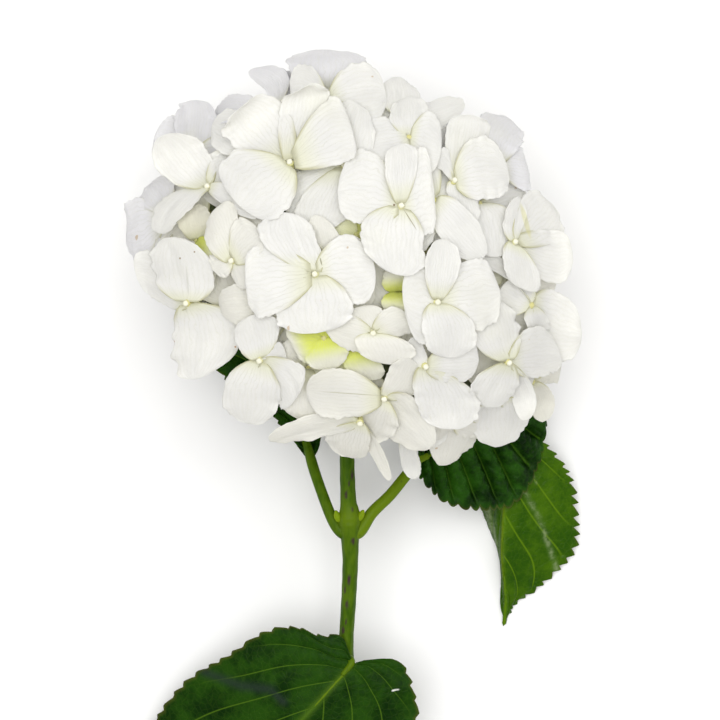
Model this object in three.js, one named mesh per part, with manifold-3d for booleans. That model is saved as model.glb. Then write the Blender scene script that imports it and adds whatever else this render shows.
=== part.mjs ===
// A cut mophead hydrangea lying on its side: a round head of four-sepal florets on a
// branched flower stalk, one woody-green stem with a slanted cut end, and four leaves.
// Millimetres, +Z up. The stem points along -Y, and the lowest point rests on z = 0.
import * as THREE from 'three';
import { mergeVertices } from 'three/addons/utils/BufferGeometryUtils.js';
import Module from 'manifold-3d';

// ---------------------------------------------------------------- driving dimensions, mm
const SEPAL_THICKNESS = 0.7;      // plate that stands for one papery sepal
const CLEARANCE = 0.32;           // gap kept between neighbouring pieces
const BOSS_RADIUS = 1.9;          // round bud in the middle of a floret
const PEDICEL_RADIUS = 0.75;      // thin stalk under a floret
const CYME_STALK_RADIUS = 1.05;   // stalk that carries a small group of florets
const CYME_FORK_RADIUS = 1.8;     // swelling where that stalk divides
const RAY_RADIUS = 1.6;           // main branches of the flower stalk
const KNOB_RADIUS = 4.2;          // swelling at the end of a main branch
const HUB_RADIUS = 4.8;           // top of the stem, where the main branches start
const LEAF_THICKNESS = 0.9;
const DETAIL = 0.15;             // smallest ridge that is kept where pieces are joined or cut
const CUT_SLANT = 0.55;           // slope of the cut across the stem's end
const ORIGIN = [0.15, -109.07, -0.10]; // middle of the footprint, measured from the head's centre line

// Stem centre line from the cut end up into the head: x, y, z, radius.
const STEM = [
  [-4.4, -292, 2.56, 3.15], [-4.4, -270, 7.8, 3.0], [-4.2, -235, 15.9, 2.9], [-3.9, -200, 23.5, 2.85],
  [-3.4, -170, 30.0, 2.85], [-3.0, -158, 32.6, 3.0], [-2.8, -152, 33.9, 3.3], [-2.5, -146, 35.2, 3.0],
  [-2.0, -139, 36.7, 2.75], [-1.3, -128, 39.1, 2.85], [-0.7, -114, 42.1, 2.95], [-0.8, -106, 43.9, 3.4],
  [-0.9, -99, 45.4, 4.2], [-1.1, -94, 46.4, 3.7], [-1.5, -89, 47.5, 2.95], [-1.9, -72, 51.2, 2.75],
  [-1.2, -50, 56.0, 2.7], [0, -22, 62, 2.9],
];

// Petiole of each leaf, from inside the stem to inside the blade: x, y, z, radius.
const PETIOLES = {
  leaf_left: [[-1.5, -103.5, 44.6, 2.6], [-4.8, -101.5, 44.6, 2.4], [-8.2, -96.2, 43.2, 2.1], [-12.7, -84.6, 39.2, 2.0],
    [-15.4, -76.6, 35.6, 2.0], [-17.2, -70.4, 32.0, 1.7], [-19.6, -63.5, 27.6, 1.1]],
  leaf_right: [[0.3, -103.2, 44.7, 2.6], [3.2, -101.6, 44.6, 2.5], [7.6, -95.1, 44.0, 2.2], [14.5, -88.4, 42.5, 2.1],
    [21.4, -80.0, 40.0, 2.0], [24.9, -75.3, 38.1, 1.8], [29.0, -73.6, 36.8, 1.2]],
  leaf_rear: [[0, -58, 53, 2.0], [6, -61, 50.5, 1.9], [14, -62.2, 44.3, 1.8], [32, -61.5, 31.5, 1.7], [48, -60, 22, 1.6],
    [58, -58.3, 17.6, 1.5], [61.2, -63.0, 16.6, 1.0]],
  leaf_lower: [[-2.6, -152, 34.5, 2.0], [-1.2, -151.6, 38.0, 1.8], [-0.4, -153.1, 39.9, 1.4], [-3.6, -157.2, 40.0, 0.9]],
};

// Leaf blades: midrib, then one margin, then the other, from the base to the tip.
const LEAVES = {
  leaf_left: [
    [[-15.8,-74.6,34.2],[-18.3,-66.5,29.5],[-23,-55,22],[-31,-40,12],[-39,-23,6],[-47,-5,3.5],[-53,9,3],[-58,20,3]],
    [[-17.2,-74.8,34.4],[-22.6,-68.6,30.4],[-32.5,-57,25],[-46.5,-46.5,17],[-56.5,-34,12.5],[-62,-9,10],[-60,8,6],[-58,20,3]],
    [[-14.4,-74.2,34],[-12.2,-67.8,30],[-11.5,-52,21],[-15,-34,7],[-20,-17,1.6],[-30,-1,1],[-43,11,1.4],[-58,20,3]]],
  leaf_right: [
    [[24.9,-75.1,38],[29.9,-73.3,36.5],[38.4,-70.3,33.5],[48.6,-66.5,29],[58.5,-62.8,24],[68.5,-58.2,18],[75.8,-54.8,13]],
    [[25.3,-74,38],[26.8,-66.7,36],[35.7,-56.8,34],[45.5,-50.3,30],[56.5,-46.4,25],[67.3,-47.7,19],[75.8,-54.8,13]],
    [[24.1,-75.9,38],[26.9,-82.5,34.5],[37,-92,29],[51.6,-94.3,22],[64.7,-91.4,16],[74.3,-72.8,12.5],[75.8,-54.8,13]]],
  leaf_rear: [
    [[60.8,-57.8,17],[60.4,-64.9,16.5],[60.1,-80.5,15.5],[59.3,-96.2,14],[58.7,-112.4,11],[59.7,-125.3,7],[60.2,-132.9,4.5],[59.7,-141.9,1.2]],
    [[61.9,-57.4,17],[69.6,-63.4,13],[85.2,-81.6,8],[88.5,-99.4,5],[87.1,-112.1,3],[74.1,-126,2],[64.6,-133.2,1.6],[59.7,-141.9,1.2]],
    [[59.6,-58.2,17],[55.6,-66.6,10],[50.3,-83.3,4],[51.6,-97.6,1.5],[57.2,-113.4,1],[59.1,-125.7,1],[59.5,-133.2,1],[59.7,-141.9,1.2]]],
  leaf_lower: [
    [[0.3,-153.2,39.9],[-0.7,-154.3,40.1],[-2.8,-156.6,40.2],[-6.1,-160.3,39.8],[-12.6,-167.6,38.5],[-21.8,-177.8,35.5],[-34.9,-192.9,29],[-49.7,-209.9,20],[-64.6,-227.1,11],[-77,-241.3,4],[-85.1,-250.5,1.2]],
    [[-0.3,-151.6,40],[-4.2,-142.4,41.4],[-12.1,-142.3,41],[-21.6,-139.2,38.2],[-33.8,-141.4,34.5],[-48.1,-151,29],[-65.7,-162.7,19],[-80.3,-183.7,10],[-87.9,-209.9,4],[-88.2,-232.6,1.6],[-85.1,-250.5,1.2]],
    [[3,-152,39.7],[15.6,-151.4,39.2],[20.8,-155.9,38.6],[23.4,-163.5,38],[25,-174.6,35.5],[17.1,-193,31],[1.9,-214.1,24],[-19.5,-233.2,14],[-45,-245.7,7],[-67.4,-250.3,2.4],[-85.1,-250.5,1.2]]],
};

// Ends of the six main branches of the flower stalk.
const KNOBS = [
  [-22.6,-4.8,81.4],
  [6.8,11,67.5],
  [-0.9,-28.2,86.5],
  [14,-5.2,88.2],
  [-6.3,-14.8,42.8],
  [25.5,-30.4,70.9],
];

// Florets, outermost first: name, main branch, fork of the group's stalk (or null), and for
// each floret its centre and its sepals. A sepal is its tip, then its two shoulders (x, y, z).
const FLORETS = [
  ['floret_01',0,null,[
    {c:[-21.9,33.5,125.7],sepals:[[-40.5,18.8,126.2,-23.9,15.7,132.7,-45.8,36.5,117],[-40.3,53.2,119.5,-44.6,42.2,113.1,-25.1,55.8,113.3],[-17.1,60.4,119.2,-26.2,52.6,113.6,-7.8,57.6,113.5],[0.5,44.2,124.7,-7.4,57.4,116.1,-1.6,33.9,129.9]]}]],
  ['floret_02',3,null,[
    {c:[17.5,17.8,131.5],sepals:[[-4.8,23.5,132.1,3.4,11.3,135,5.1,38.4,126.4],[17.6,40.3,124.5,11.5,32.9,129,23.7,34.9,125.7],[29.3,23.7,128.1,24.8,39.3,123.4,27.5,7.9,131.6],[16.1,-6.7,135.5,26.4,1.8,133.5,3,7.7,136.6]]}]],
  ['floret_03',2,null,[
    {c:[-12.9,-6.3,133.8],sepals:[[-37.5,-9.7,129.1,-31.1,-21.8,129.2,-33.5,4,131.1],[-23.6,15.4,131.5,-32.9,7.3,129.9,-12.6,7.1,134.6],[8.3,-5,135.5,-1.9,7.1,135.7,1.6,-17.3,134.3],[-12.6,-27.2,131.7,0.5,-18.4,134.8,-27.2,-21.1,130.3]]}]],
  ['floret_04',3,null,[
    {c:[30.4,-16.1,128.6],sepals:[[32.8,6.2,131.3,26,-2.1,133.6,38.5,-3,129.2],[53.2,-12.4,119.1,44.4,-0.7,125.3,46.4,-26.4,119.7],[35.2,-36.4,121.7,45.2,-27.1,120.8,25.4,-27.2,129.1],[18.2,-15.5,132.9,25.8,-31.4,126.6,23.2,-3.1,133.1]]}]],
  ['cluster_06',5,[38.1,-30.9,86],[
    {c:[56.8,-37.5,103.7],sepals:[[50.3,-15.6,118.1,42.8,-27.4,118.7,60.9,-24.4,107.6],[76.5,-33.8,84.8,66.4,-24.4,100.9,70.7,-43.8,83],[49.4,-53.9,97.1,60.3,-48.9,90.7,42.8,-46.9,108.7],[64.5,-58.9,86.8,67.6,-48.9,84.5,59.1,-51.9,84.9]]},
    {c:[50.1,-25.5,105.1],sepals:[[70.3,-24.7,89.2,61.5,-15.4,104,62.7,-34.6,93.3],[50.5,-47.2,94.7,60.5,-38.5,92.2,40.3,-38.4,108.3],[29.4,-23.8,117.5,36.9,-34,110.9,38.4,-15,117.8],[52.3,-3.6,108.9,42.5,-11.5,113.2,60.4,-13.1,99.3]]}]],
  ['floret_05',0,null,[
    {c:[-59.4,-16.2,111.7],sepals:[[-63.8,7.6,111.2,-73.7,-3.3,102.2,-50,-5.2,120.2],[-56.6,-43.7,102.4,-40.9,-26.7,114.9,-65.9,-31.3,99.7],[-79.4,-4.5,94.3,-70,-16.3,98.5,-73.8,2.7,97.8]]}]],
  ['floret_14',2,null,[
    {c:[26.3,-38.9,121],sepals:[[45.9,-37.1,113.3,39.5,-28.2,121.1,37.6,-45.4,112.7],[34.9,-61.8,105,46.3,-52.4,102.4,23.1,-51.9,115.8],[21.2,-28.9,126.2,19.8,-36.8,122.5,26.2,-33.2,123.2]]}]],
  ['floret_06',0,null,[
    {c:[-42.7,-1.4,123.5],sepals:[[-49.7,16.6,119.7,-52.9,6.2,119.4,-42,17.9,123.9],[-32.9,8.8,128.4,-40.9,13.2,124.5,-32.9,-0.1,128.9],[-49.6,-4.5,120.6,-44.9,-7.1,123.1,-50.3,0.8,120.3],[-37.3,-11.1,125.1,-33.7,-5.1,127.1,-42.4,-8.2,123.2]]}]],
  ['cluster_11',2,[5.9,-38.6,97.6],[
    {c:[11.6,-50.4,116.3],sepals:[[-16.4,-48.6,118.8,-5.6,-58,112.7,-5.9,-39.6,125.5],[21.9,-36.8,123.8,13.4,-41,123.7,24.2,-47.5,114.5],[29.2,-68.4,102.5,24.6,-52.2,112.8,12.8,-64.7,103.5],[5.1,-64.6,98.8,16.1,-62.7,107.7,-0.6,-55.1,109.1]]},
    {c:[16.5,-52.3,106.1],sepals:[[17,-65.9,89.1,22.8,-60.3,97.2,10.8,-60.4,101.5],[-3.4,-52.1,110.4,4.5,-62.6,98.4,4.7,-41.9,117.2]]}]],
  ['floret_07',0,null,[
    {c:[-51.7,25.6,114],sepals:[[-68.1,44.5,110.1,-69.7,31.2,103.2,-52.8,39.7,108.1],[-70.8,9.4,102.6,-59,16.9,113.1,-70.3,21.2,99.4],[-33.3,14.1,126.8,-41,24.4,121.2,-44.9,18,120.5],[-41.7,32.4,113.2,-49.2,37.2,107.4,-40.8,24.3,116.9]]}]],
  ['floret_15',2,null,[
    {c:[7.6,-27.1,127.8],sepals:[[2.3,-18,131.3,-2.3,-22.6,130.2,11.2,-19.4,130.4],[21.1,-21.8,127.8,12.9,-18.3,130.1,20.5,-27.8,126.2],[13.7,-38.5,124.6,22.2,-32.8,125.7,1.6,-32.1,128.4],[-10.8,-23.3,130.1,0.2,-34.3,126.9,-3.7,-19.4,131.6]]}]],
  ['cluster_05',2,[-11.4,-32.5,99.7],[
    {c:[-32.9,-36.8,118],sepals:[[-36.3,-21,123.5,-41.8,-29.6,118.1,-26.2,-24.6,126],[-37.8,-60,101.5,-26.2,-52.6,113.5,-47,-47.6,106.1],[-20.7,-51.5,114.9,-17.7,-39.6,123.3,-27.7,-52.3,111.9],[-25.2,-30.7,123.5,-28.8,-33.5,121.2,-24.2,-37.8,120.7]]},
    {c:[-15.6,-38.9,113.7],sepals:[[-17.6,-58.8,105.9,-10.3,-55.5,109.9,-24.8,-51.9,111],[-23.5,-30,120.7,-25.7,-37.8,118.1,-18.1,-28.5,123.9],[5.9,-46.8,107.6,1.1,-33.3,113.5,-6.5,-54,108.6],[-2.3,-19.5,121.7,-16.7,-21,118.7,1.5,-33.5,118.6]]}]],
  ['cluster_09',3,[33.4,-2.8,98.1],[
    {c:[58.5,5.8,112.8],sepals:[[73.8,20.1,92.5,63.7,24,102.8,76.4,8,91.5],[80.6,2.4,95,73.5,10.8,96.4,74.7,-8.9,95],[61.8,-11.1,111.1,68.7,-8.1,104.6,55,-1.6,117.6],[60.2,22.6,107.7,54.4,13.6,115.2,63.1,16.1,107.3]]},
    {c:[55.7,-5.5,107.4],sepals:[[76.1,-5.1,82.9,67.7,2.3,96.3,67.6,-13.1,95.4],[57.7,-25.8,99.4,67.2,-16.7,95.1,46.6,-18.6,111.4],[33.4,-3.7,119.6,41.3,-13.8,116.4,43.1,4.9,115.9],[54.4,14,107.2,44.8,5.3,114.2,65.1,7.2,99.2]]}]],
  ['floret_11',3,null,[
    {c:[36.6,27.3,120.6],sepals:[[56.9,31.6,108.3,45.7,43.9,109.3,49.3,20.6,118.5],[43.2,51.9,107.6,34.4,46.9,112,50.2,45.3,104.1],[30.6,35.6,119.7,32.7,30.1,121.3,34.3,39.1,116.4],[41.6,11.5,121.8,45.7,18.5,118.8,34.8,21.1,122.2]]}]],
  ['cluster_03',2,[4.3,-42.8,94],[
    {c:[3,-59.2,109.4],sepals:[[-30.4,-65.8,105,-11.5,-65.1,102.4,-14.3,-56.6,111.4],[-1.4,-72.8,90.1,6.7,-68.2,98.3,-9.7,-65.5,100.8],[14,-81,93.4,11.4,-69.7,97.6,7.4,-72,94.2]]},
    {c:[18.3,-62.3,97],sepals:[[22.7,-80.9,78.7,25.6,-75.4,78.2,18.2,-74.5,81.2],[35.5,-58.2,90.5,26.6,-51.3,93.3,30.6,-68.4,89.1],[12.5,-63.6,97.9,15.5,-65.9,91,14.1,-60.2,93.5]]}]],
  ['floret_18',5,null,[
    {c:[55.6,-50.7,89.8],sepals:[[55.8,-69,67.2,67.1,-57,68.2,44.7,-60.4,86.8],[66.9,-45.4,75.2,66.7,-39.5,80.7,59,-54.2,80.9]]}]],
  ['floret_20',3,null,[
    {c:[29.4,20.3,123.7],sepals:[[47.4,-0.3,120.9,42.7,15.8,122.7,34,3.8,127.2],[43.8,32.9,110.3,30.8,36.2,116.5,45.3,19.5,115.4],[14.2,37.8,118.5,12,23.5,122.6,28.6,38.1,118.1],[11.4,4.6,126.7,25.9,2.6,125.7,11.4,19.2,126.1]]}]],
  ['floret_10',3,null,[
    {c:[20.6,43.3,115.8],sepals:[[5.1,39.6,122,14.8,33.5,125.4,9.1,50.5,115.4],[32,37.8,119.3,29.7,52.5,110.6,25.8,30.3,124.8],[20.8,58.7,105.4,13.4,51.9,113.1,27.6,53,108.2],[18.1,20.2,121,30.1,28.3,118.4,8.1,30.6,116.5]]}]],
  ['floret_13',5,null,[
    {c:[65.5,-16.8,102.9],sepals:[[84.9,-26.8,85.2,76.5,-11.8,89.9,76.2,-37.1,82.5],[54.5,-10.5,113.2,54.2,-20.1,111.2,64.7,-6.6,105.2],[46.1,-1.2,117.5,56.1,-7.5,111.2,53.4,0.3,113.4],[69.3,-28,93,72.4,-22.8,91.5,63.4,-24.4,102.4]]}]],
  ['cluster_02',1,[-0.1,32.2,82.3],[
    {c:[-8.6,55.8,109.7],sepals:[[-22.5,64.3,99.6,-18.7,57,108.4,-16,72.4,94.4],[12.4,61.1,106.1,1.5,71.6,98.5,5.9,48.7,116.4],[-25.7,39.4,115.1,-11.2,37.9,113.1,-26.5,53.9,111.3],[2.2,36.3,118.8,7.6,49.5,115.1,-11.7,38.7,115.1]]},
    {c:[-8.7,60.3,91.2],sepals:[[-9.6,78.3,74.9,-24.1,72.4,87.3,5.6,72.5,88.7],[-30.7,59.1,89.2,-21.3,48.5,92.1,-22.4,70.6,81.7],[-7.6,39.2,112.3,3,48.2,100.9,-19,47.1,98.7],[10.6,61.3,93.9,2.4,70,95.9,3.4,51.7,95.9]]}]],
  ['cluster_04',3,[6.6,3.1,105.6],[
    {c:[-2.7,32.6,123],sepals:[[3,55.1,113.7,-5.6,52.4,115.6,8,41.1,123.2],[-11.9,9.8,129.5,-0.6,16.5,129.4,-19.8,18.4,126.8],[15.5,24.7,120.6,10.2,33.8,117.8,8.3,15.6,124.3],[-24.1,19.3,124.1,-18.4,16.3,126,-19.2,30.5,121.9]]},
    {c:[-6.6,0.2,129.8],sepals:[[-10.8,14.3,131.1,-15.1,9.7,131.2,-3.7,5.4,132.6],[5.1,3.6,132.9,-2,7.2,132.8,3.7,-2.1,133],[-28.4,-6.3,123,-16.5,-14.3,125.8,-22.8,6.9,125.8],[0,-22.1,124.2,7.9,-10,127.1,-13.2,-16.3,126.8]]},
    {c:[1.6,7.4,127.5],sepals:[[-9.8,16.6,126.8,-7.7,9.8,128.2,-2,17.7,126.9],[-6.3,-2.4,123.9,1.5,-2.2,125.3,-7.8,5.3,125.3],[11.2,-0.4,123.5,11.1,7.3,125.1,3.6,-2,125.1],[9.1,16.6,122,1.4,16.7,124.1,10.7,9.2,124.3]]}]],
  ['cluster_10',2,[-7.9,-26.5,102.3],[
    {c:[-9.8,-28.9,124.5],sepals:[[-21.6,-31,123.7,-15.2,-38.5,121.7,-21.6,-25.7,125.6],[-7.7,-40.3,122.3,-1.3,-33.2,125.9,-16.6,-36.4,123],[-4.1,-24.6,127,-12,-22.9,126.8,-1.6,-29.6,125.4],[-15,-17,123.7,-18.4,-24.2,124,-7.4,-19.4,124.2]]},
    {c:[-23.3,-19.7,118.6],sepals:[[-13.9,-38.6,115.5,-9.3,-26.9,122.4,-26.1,-35.2,113.6],[-43,-26.7,107.3,-31.9,-32.4,113.3,-38.1,-15.4,111.5],[-33.2,-1.9,121,-36.9,-13.2,113.9,-21.5,-4.9,123.2],[-4.7,-9.4,124.9,-16.9,-5,124.1,-7.3,-22.1,122.1]]}]],
  ['floret_17',5,null,[
    {c:[37.8,-58.7,95.5],sepals:[[34.7,-75.9,72.6,47.8,-65.1,73,29.8,-65.4,94.2],[53.5,-59,76.2,50.8,-49.8,86.6,43.3,-66,81.6]]}]],
  ['floret_21',3,null,[
    {c:[46.1,19.7,113.4],sepals:[[52.2,0.2,116.6,59.3,13.1,109.7,41.6,11.9,120.3],[63.2,25,97.7,53.2,32.9,99.6,59.5,12.8,107.9],[39.6,40.8,104.8,31.7,29,109.9,52.7,35.6,100.3],[24.1,12.8,122,36.2,5,119.4,29.6,26.1,116.8]]}]],
  ['cluster_01',0,[-27.4,18,91.9],[
    {c:[-29,53,97.4],sepals:[[-37.6,70.7,84,-24.3,69.5,88.1,-32.2,63.1,92],[-50.8,54.7,84.2,-45.2,48.7,101.2,-42,61,90.8],[-26.8,31.4,113.3,-16.7,41.2,104,-38.7,39,102.7],[-6.2,59.5,93,-18.3,67.6,86.2,-12.3,46.3,102.2]]},
    {c:[-37.4,39,112.3],sepals:[[-50.7,49.5,97,-48.4,38.9,108,-42.2,54.4,99.9],[-52,20.4,108.6,-37.5,21,109,-54.8,34.7,105.6],[-19.6,25,120.9,-19.9,39.3,112.6,-33.6,21.9,117.1],[-25.3,54.4,99,-38,54.4,94.3,-22.2,42,107.3]]}]],
  ['floret_19',5,null,[
    {c:[67.4,-44.9,73.7],sepals:[[73.1,-59.7,59.5,75.8,-50.3,59.5,66.7,-54.1,59.5],[78.4,-41.3,58.9,76.3,-33,70.1,74.3,-45.8,58.9],[62,-29.6,92.4,53.7,-39.4,85.4,74.6,-32.1,83.6],[49,-51.7,83.9,56.9,-56.2,79.2,52.5,-38.7,82.9]]}]],
  ['floret_16',2,null,[
    {c:[0.9,-33.2,122.1],sepals:[[8.4,-44.3,118.2,10.5,-37.5,121.7,-2.7,-39.3,121.3],[11.5,-26,120.6,3.9,-23.9,120.6,10.6,-33.8,117.9],[-6.4,-22.4,122.4,-8.5,-30.1,119.9,1.4,-23.4,123.2],[-8.4,-39.5,117.5,-1.4,-41.9,119.2,-8.1,-32,119.9]]}]],
  ['floret_09',1,null,[
    {c:[19.3,50.7,109.8],sepals:[[16.9,67.1,95.6,10.2,58.5,106.9,24.8,59.6,101.6],[41.1,57.4,93.8,30.7,58.8,98.9,32.7,47.5,108.4],[5.9,53.6,110.1,11.6,43.7,116.2,11.4,61.5,102],[20.2,28.1,116.2,30.9,37.6,114,8.8,36.6,113.2]]}]],
  ['floret_22',0,null,[
    {c:[-67.1,16.5,90.2],sepals:[[-84,10.1,75.7,-78.1,0.1,87.2,-82.1,22.7,78.1],[-75.3,28.2,77.6,-79.1,21.9,79.8,-67.1,29.7,93.7],[-57.2,-4,107.2,-51.2,9,103.6,-71.1,-0.6,96.1]]}]],
  ['cluster_07',0,[-27.8,-9.5,95.5],[
    {c:[-28.5,-14.6,115.2],sepals:[[-48,-16.6,115.6,-39.3,-24.6,119.8,-40.6,-9.6,122.7],[-4.6,-12.1,122.5,-15.3,-2.1,119.1,-13,-24.1,116]]},
    {c:[-39.9,-15.8,110.2],sepals:[[-29.6,-30.7,115.9,-25.9,-19.5,121.7,-41.6,-30,112.4],[-53.6,0.5,106.8,-55.9,-12.2,107.6,-40.3,0.1,115],[-22.6,-3.6,121.7,-34.7,-1.3,117.1,-24.3,-15.6,116.9]]}]],
  ['cluster_12',0,[-37.1,1.9,92],[
    {c:[-56.3,6.6,105.3],sepals:[[-58.6,19.8,106.3,-62.7,13.3,105.2,-51,15.8,113.5],[-49.8,-8.7,116.5,-49.8,3.5,117,-54.6,-1.8,113.9],[-32,15.4,122.2,-40,17.7,119.5,-30.5,7.5,124.8],[-66,3.7,104.7,-60.4,-0.8,93,-63.8,10.6,95.3]]},
    {c:[-53.4,13.8,104.7],sepals:[[-36.2,-1,121.4,-36.3,12.5,117.6,-49.8,-2.8,112.1],[-66.3,-1.7,103.2,-53.7,-1.3,108.9,-68.7,10.4,97.3],[-71,29.6,84.5,-70.9,15.7,86.3,-56.7,30.5,101.4]]}]],
  ['floret_08',0,null,[
    {c:[-58.4,37.1,95.4],sepals:[[-58.1,59.9,80.4,-66.1,51.6,77.5,-49.4,50.8,94.4],[-73.3,47,74.2,-71.6,35.2,79.1,-65.2,53.8,73.8],[-65.4,20.4,89.9,-54.9,23.9,92.6,-70.4,30.3,84.3],[-38.4,33,108.1,-44.2,45.4,103.2,-48.7,23.8,103.1]]}]],
  ['floret_12',3,null,[
    {c:[51.7,34.8,99.6],sepals:[[59.3,51.8,78.5,46.9,51.8,100.9,62.2,42.4,91.4],[64.2,33.7,91.3,61.5,41.6,90.4,63.9,24.9,101.8],[29.2,42.1,109,34.8,28.7,104,41.6,49.7,101],[47.1,12.4,112.7,59.7,19.2,98.8,38.1,23.6,106.4]]}]],
  ['cluster_08',3,[15.7,-10.1,102.5],[
    {c:[16.2,-12.5,120.4],sepals:[[15.8,-3.6,126.5,10.8,-8.6,127.1,22.3,-7.9,125.6],[16.6,-22.8,123.4,21.9,-17.5,126.3,10.8,-16.4,127.2],[27.8,-12,118.7,22.9,-6.2,118.3,23.4,-18.2,117],[3.4,-13,123.4,8.8,-18.8,118.8,8.3,-6.8,120.6]]},
    {c:[19.4,-19.7,119.7],sepals:[[31.7,-35.1,114.3,34.4,-22.9,118.4,19.2,-34.9,118],[5.3,-34.6,120.8,18.3,-35.5,118.4,3.7,-21.7,124.6],[6.4,-2.8,127.1,4.5,-15,123.7,18.7,-4.1,122.1],[35.3,-5.8,117.8,23,-4.7,123.2,34.9,-18,116.2]]}]],
  ['cymule_07',4,[-16.9,-9.1,28.3],[
    {c:[-46.9,-9.6,21.4],sepals:[[-58.1,-15.2,37.7,-61,-3.6,29.8,-51.2,-23.2,31.1],[-51.9,15.2,19.2,-42.5,7,11.1,-59.9,4,25.9],[-28.7,-4.6,6.2,-34.9,-17.8,10.7,-41.4,4,9.4],[-37.2,-32.1,22.9,-48.9,-25.7,27.7,-35.4,-21.9,13.1]]},
    {c:[-14.9,14.9,2.4],sepals:[[-35.7,25.4,5.1,-21.7,31.6,4.3,-34.2,10.9,2.3],[-2.5,35.2,3,3.4,21.3,0.8,-17.7,32.5,5.1],[6.7,5.3,0.8,-7,-1.7,0.8,2.9,20.2,1.4],[-25.6,-5,1.1,-33.1,9.3,0.8,-9.9,-3.1,0.8]]},
    {c:[-27.4,-11.7,7.6],sepals:[[-24.7,-32.3,16.6,-36.2,-24.3,15.3,-16.2,-25.3,8.9],[-45,-8.5,19.7,-39.3,1.2,11.8,-38,-20.5,18.2],[-26.7,13.3,3,-16.8,2,3.1,-36.2,4.8,9.1],[-3.5,-12.1,3.3,-12.9,-22.6,7.1,-12.9,-0.8,4.3]]}]],
  ['cymule_09',4,[-23.7,-19.2,45.4],[
    {c:[-55,-17.5,64],sepals:[[-53.3,-25.1,90,-61.8,-12.3,83.6,-53.5,-34.3,76.7],[-71.9,6.2,68.7,-69.2,-3,55.1,-65.8,-6.2,78.4],[-57.2,-12.6,40.6,-57.6,-26.4,46.7,-66.7,-5.2,50.7],[-32.2,-29.4,60.3,-43.8,-29.7,73.4,-48.9,-29,49.8]]},
    {c:[-32.7,-36.2,40.1],sepals:[[-29.6,-39.5,64.2,-36.3,-30.8,55.8,-22.7,-43.7,54.2],[-54,-27,40.8,-44.7,-29.4,30.3,-43,-30.7,49.5],[-30.3,-33,20.4,-24,-41.4,29.3,-41.2,-29.8,28.2],[-15.3,-49.8,41,-24.6,-48.9,51.2,-21.3,-41.8,31.1]]},
    {c:[-47.5,-20.2,41.4],sepals:[[-34.2,-29.1,54.9,-51,-27,57.5,-34.5,-29.7,42.8],[-57.2,-2.7,29.1,-47.8,-14.7,27.1,-62.6,-6.9,42.2],[-37.8,-29.5,24.8,-37.5,-31.5,36.7,-46,-18.1,25.8]]}]],
  ['cymule_10',4,[12.9,-13.4,28.1],[
    {c:[30.3,6.8,3.5],sepals:[[39.4,27.5,10.9,44.5,14.4,10.4,27.2,24.8,5.2],[50.5,-6.5,11.7,38.7,-11.1,4.2,47.7,8.2,11.2],[18.9,-14.4,0.8,13.3,0.1,0.8,33.9,-12.2,2.4],[7.6,20.6,0.8,22.3,24.8,2.7,10.9,5.6,0.8]]},
    {c:[27.7,-32.2,7.6],sepals:[[48.4,-20,11.1,45.1,-34.8,15,35.6,-14.9,4],[34.9,-47.3,23,21.5,-46.5,16.7,42,-35.1,18.4],[6.1,-40.3,9.3,10.1,-26.9,2.5,18.7,-46.3,15.9],[17.9,-11.1,2.2,32,-14.7,4.2,12.2,-24.9,0.8]]},
    {c:[51.5,-9.9,19],sepals:[[63.1,-7.6,35.9,59.8,-20.3,30.8,58.2,2.7,27.6],[47.4,-33.9,21.3,40.8,-23.7,11.8,58.4,-25.3,27.5],[31.4,-6,4,42.2,4.6,9.5,36.9,-20.6,9.7],[51.4,12.1,16.8,60.6,3.6,24,42.9,3.6,10.1]]}]],
  ['cymule_11',1,[14,28.8,55.8],[
    {c:[11.8,61.6,52.3],sepals:[[-15.1,69.2,51.7,-3.9,71,63.2,-4.7,65.3,40],[13.4,63.1,76.3,23.6,60.4,66.2,2,68.3,67.3],[37.4,53.7,53,27.1,55.4,42.1,28,58.9,63.3],[10.2,55.6,29.7,0.5,63.1,37.6,21.2,55,38.4]]},
    {c:[18,41.1,22.2],sepals:[[16.3,55.9,40.3,28.8,49.9,35,6.1,53.2,30],[40.8,38,30,33.6,31.2,18.6,30.5,48,33.8],[17.9,22.2,6.1,6.9,32.8,9,29.7,27.6,14.6],[-5.7,45,14.8,3.2,52.5,25.1,4.3,34.2,10.4]]},
    {c:[38.7,48.6,49.7],sepals:[[21.2,55.2,61.3,33.4,51.4,65.2,23.1,54.9,48.6],[46.6,43.5,71.3,52.2,40.1,58.1,35.7,51,67.3],[50.5,32.1,38.3,40.5,41.1,33.5,53.1,37.4,51.5],[23.2,47.5,32.4,23.2,54.6,44,36,42.1,33.5]]}]],
  ['cymule_13',1,[-8.4,32.8,65.4],[
    {c:[-40,53.3,54.9],sepals:[[-52.3,52.2,77,-37.3,58.4,72.7,-59.4,46.7,63.2],[-25.1,66.6,65.2,-26.2,65.3,50.5,-35.9,58.4,70.8],[-27.5,52.2,34,-42.5,47.6,36.4,-25.6,62.7,45.9],[-59.8,39.3,44.3,-60.3,46.9,59.5,-46.3,46,36.8]]},
    {c:[-13.9,64.2,56.5],sepals:[[-20.4,71.6,81.1,-8.7,74.4,73.9,-27.6,67.9,69.4],[7.7,63.1,62.9,1.8,64.2,50.3,-3.4,70.5,70.5],[-5.2,62.3,32.5,-18.9,64.4,38.4,0.6,63.8,46.6],[-33.1,55.3,49.8,-29.5,61.9,60.9,-23.7,60.8,43]]},
    {c:[-26.9,60.7,77],sepals:[[-21.1,46.5,97,-11.4,52.7,87.8,-31.8,43.9,87.9],[-1.7,66.9,77.5,-12.3,69.4,66.2,-11.5,63.2,88.6],[-25,60,50.2,-35,54.9,60.7,-15.2,64.3,61.4],[-50.4,51.9,74.3,-41.1,53.7,85.1,-38.9,54,65.2]]}]],
  ['cymule_01',5,[43.8,-27.5,62.8],[
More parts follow.
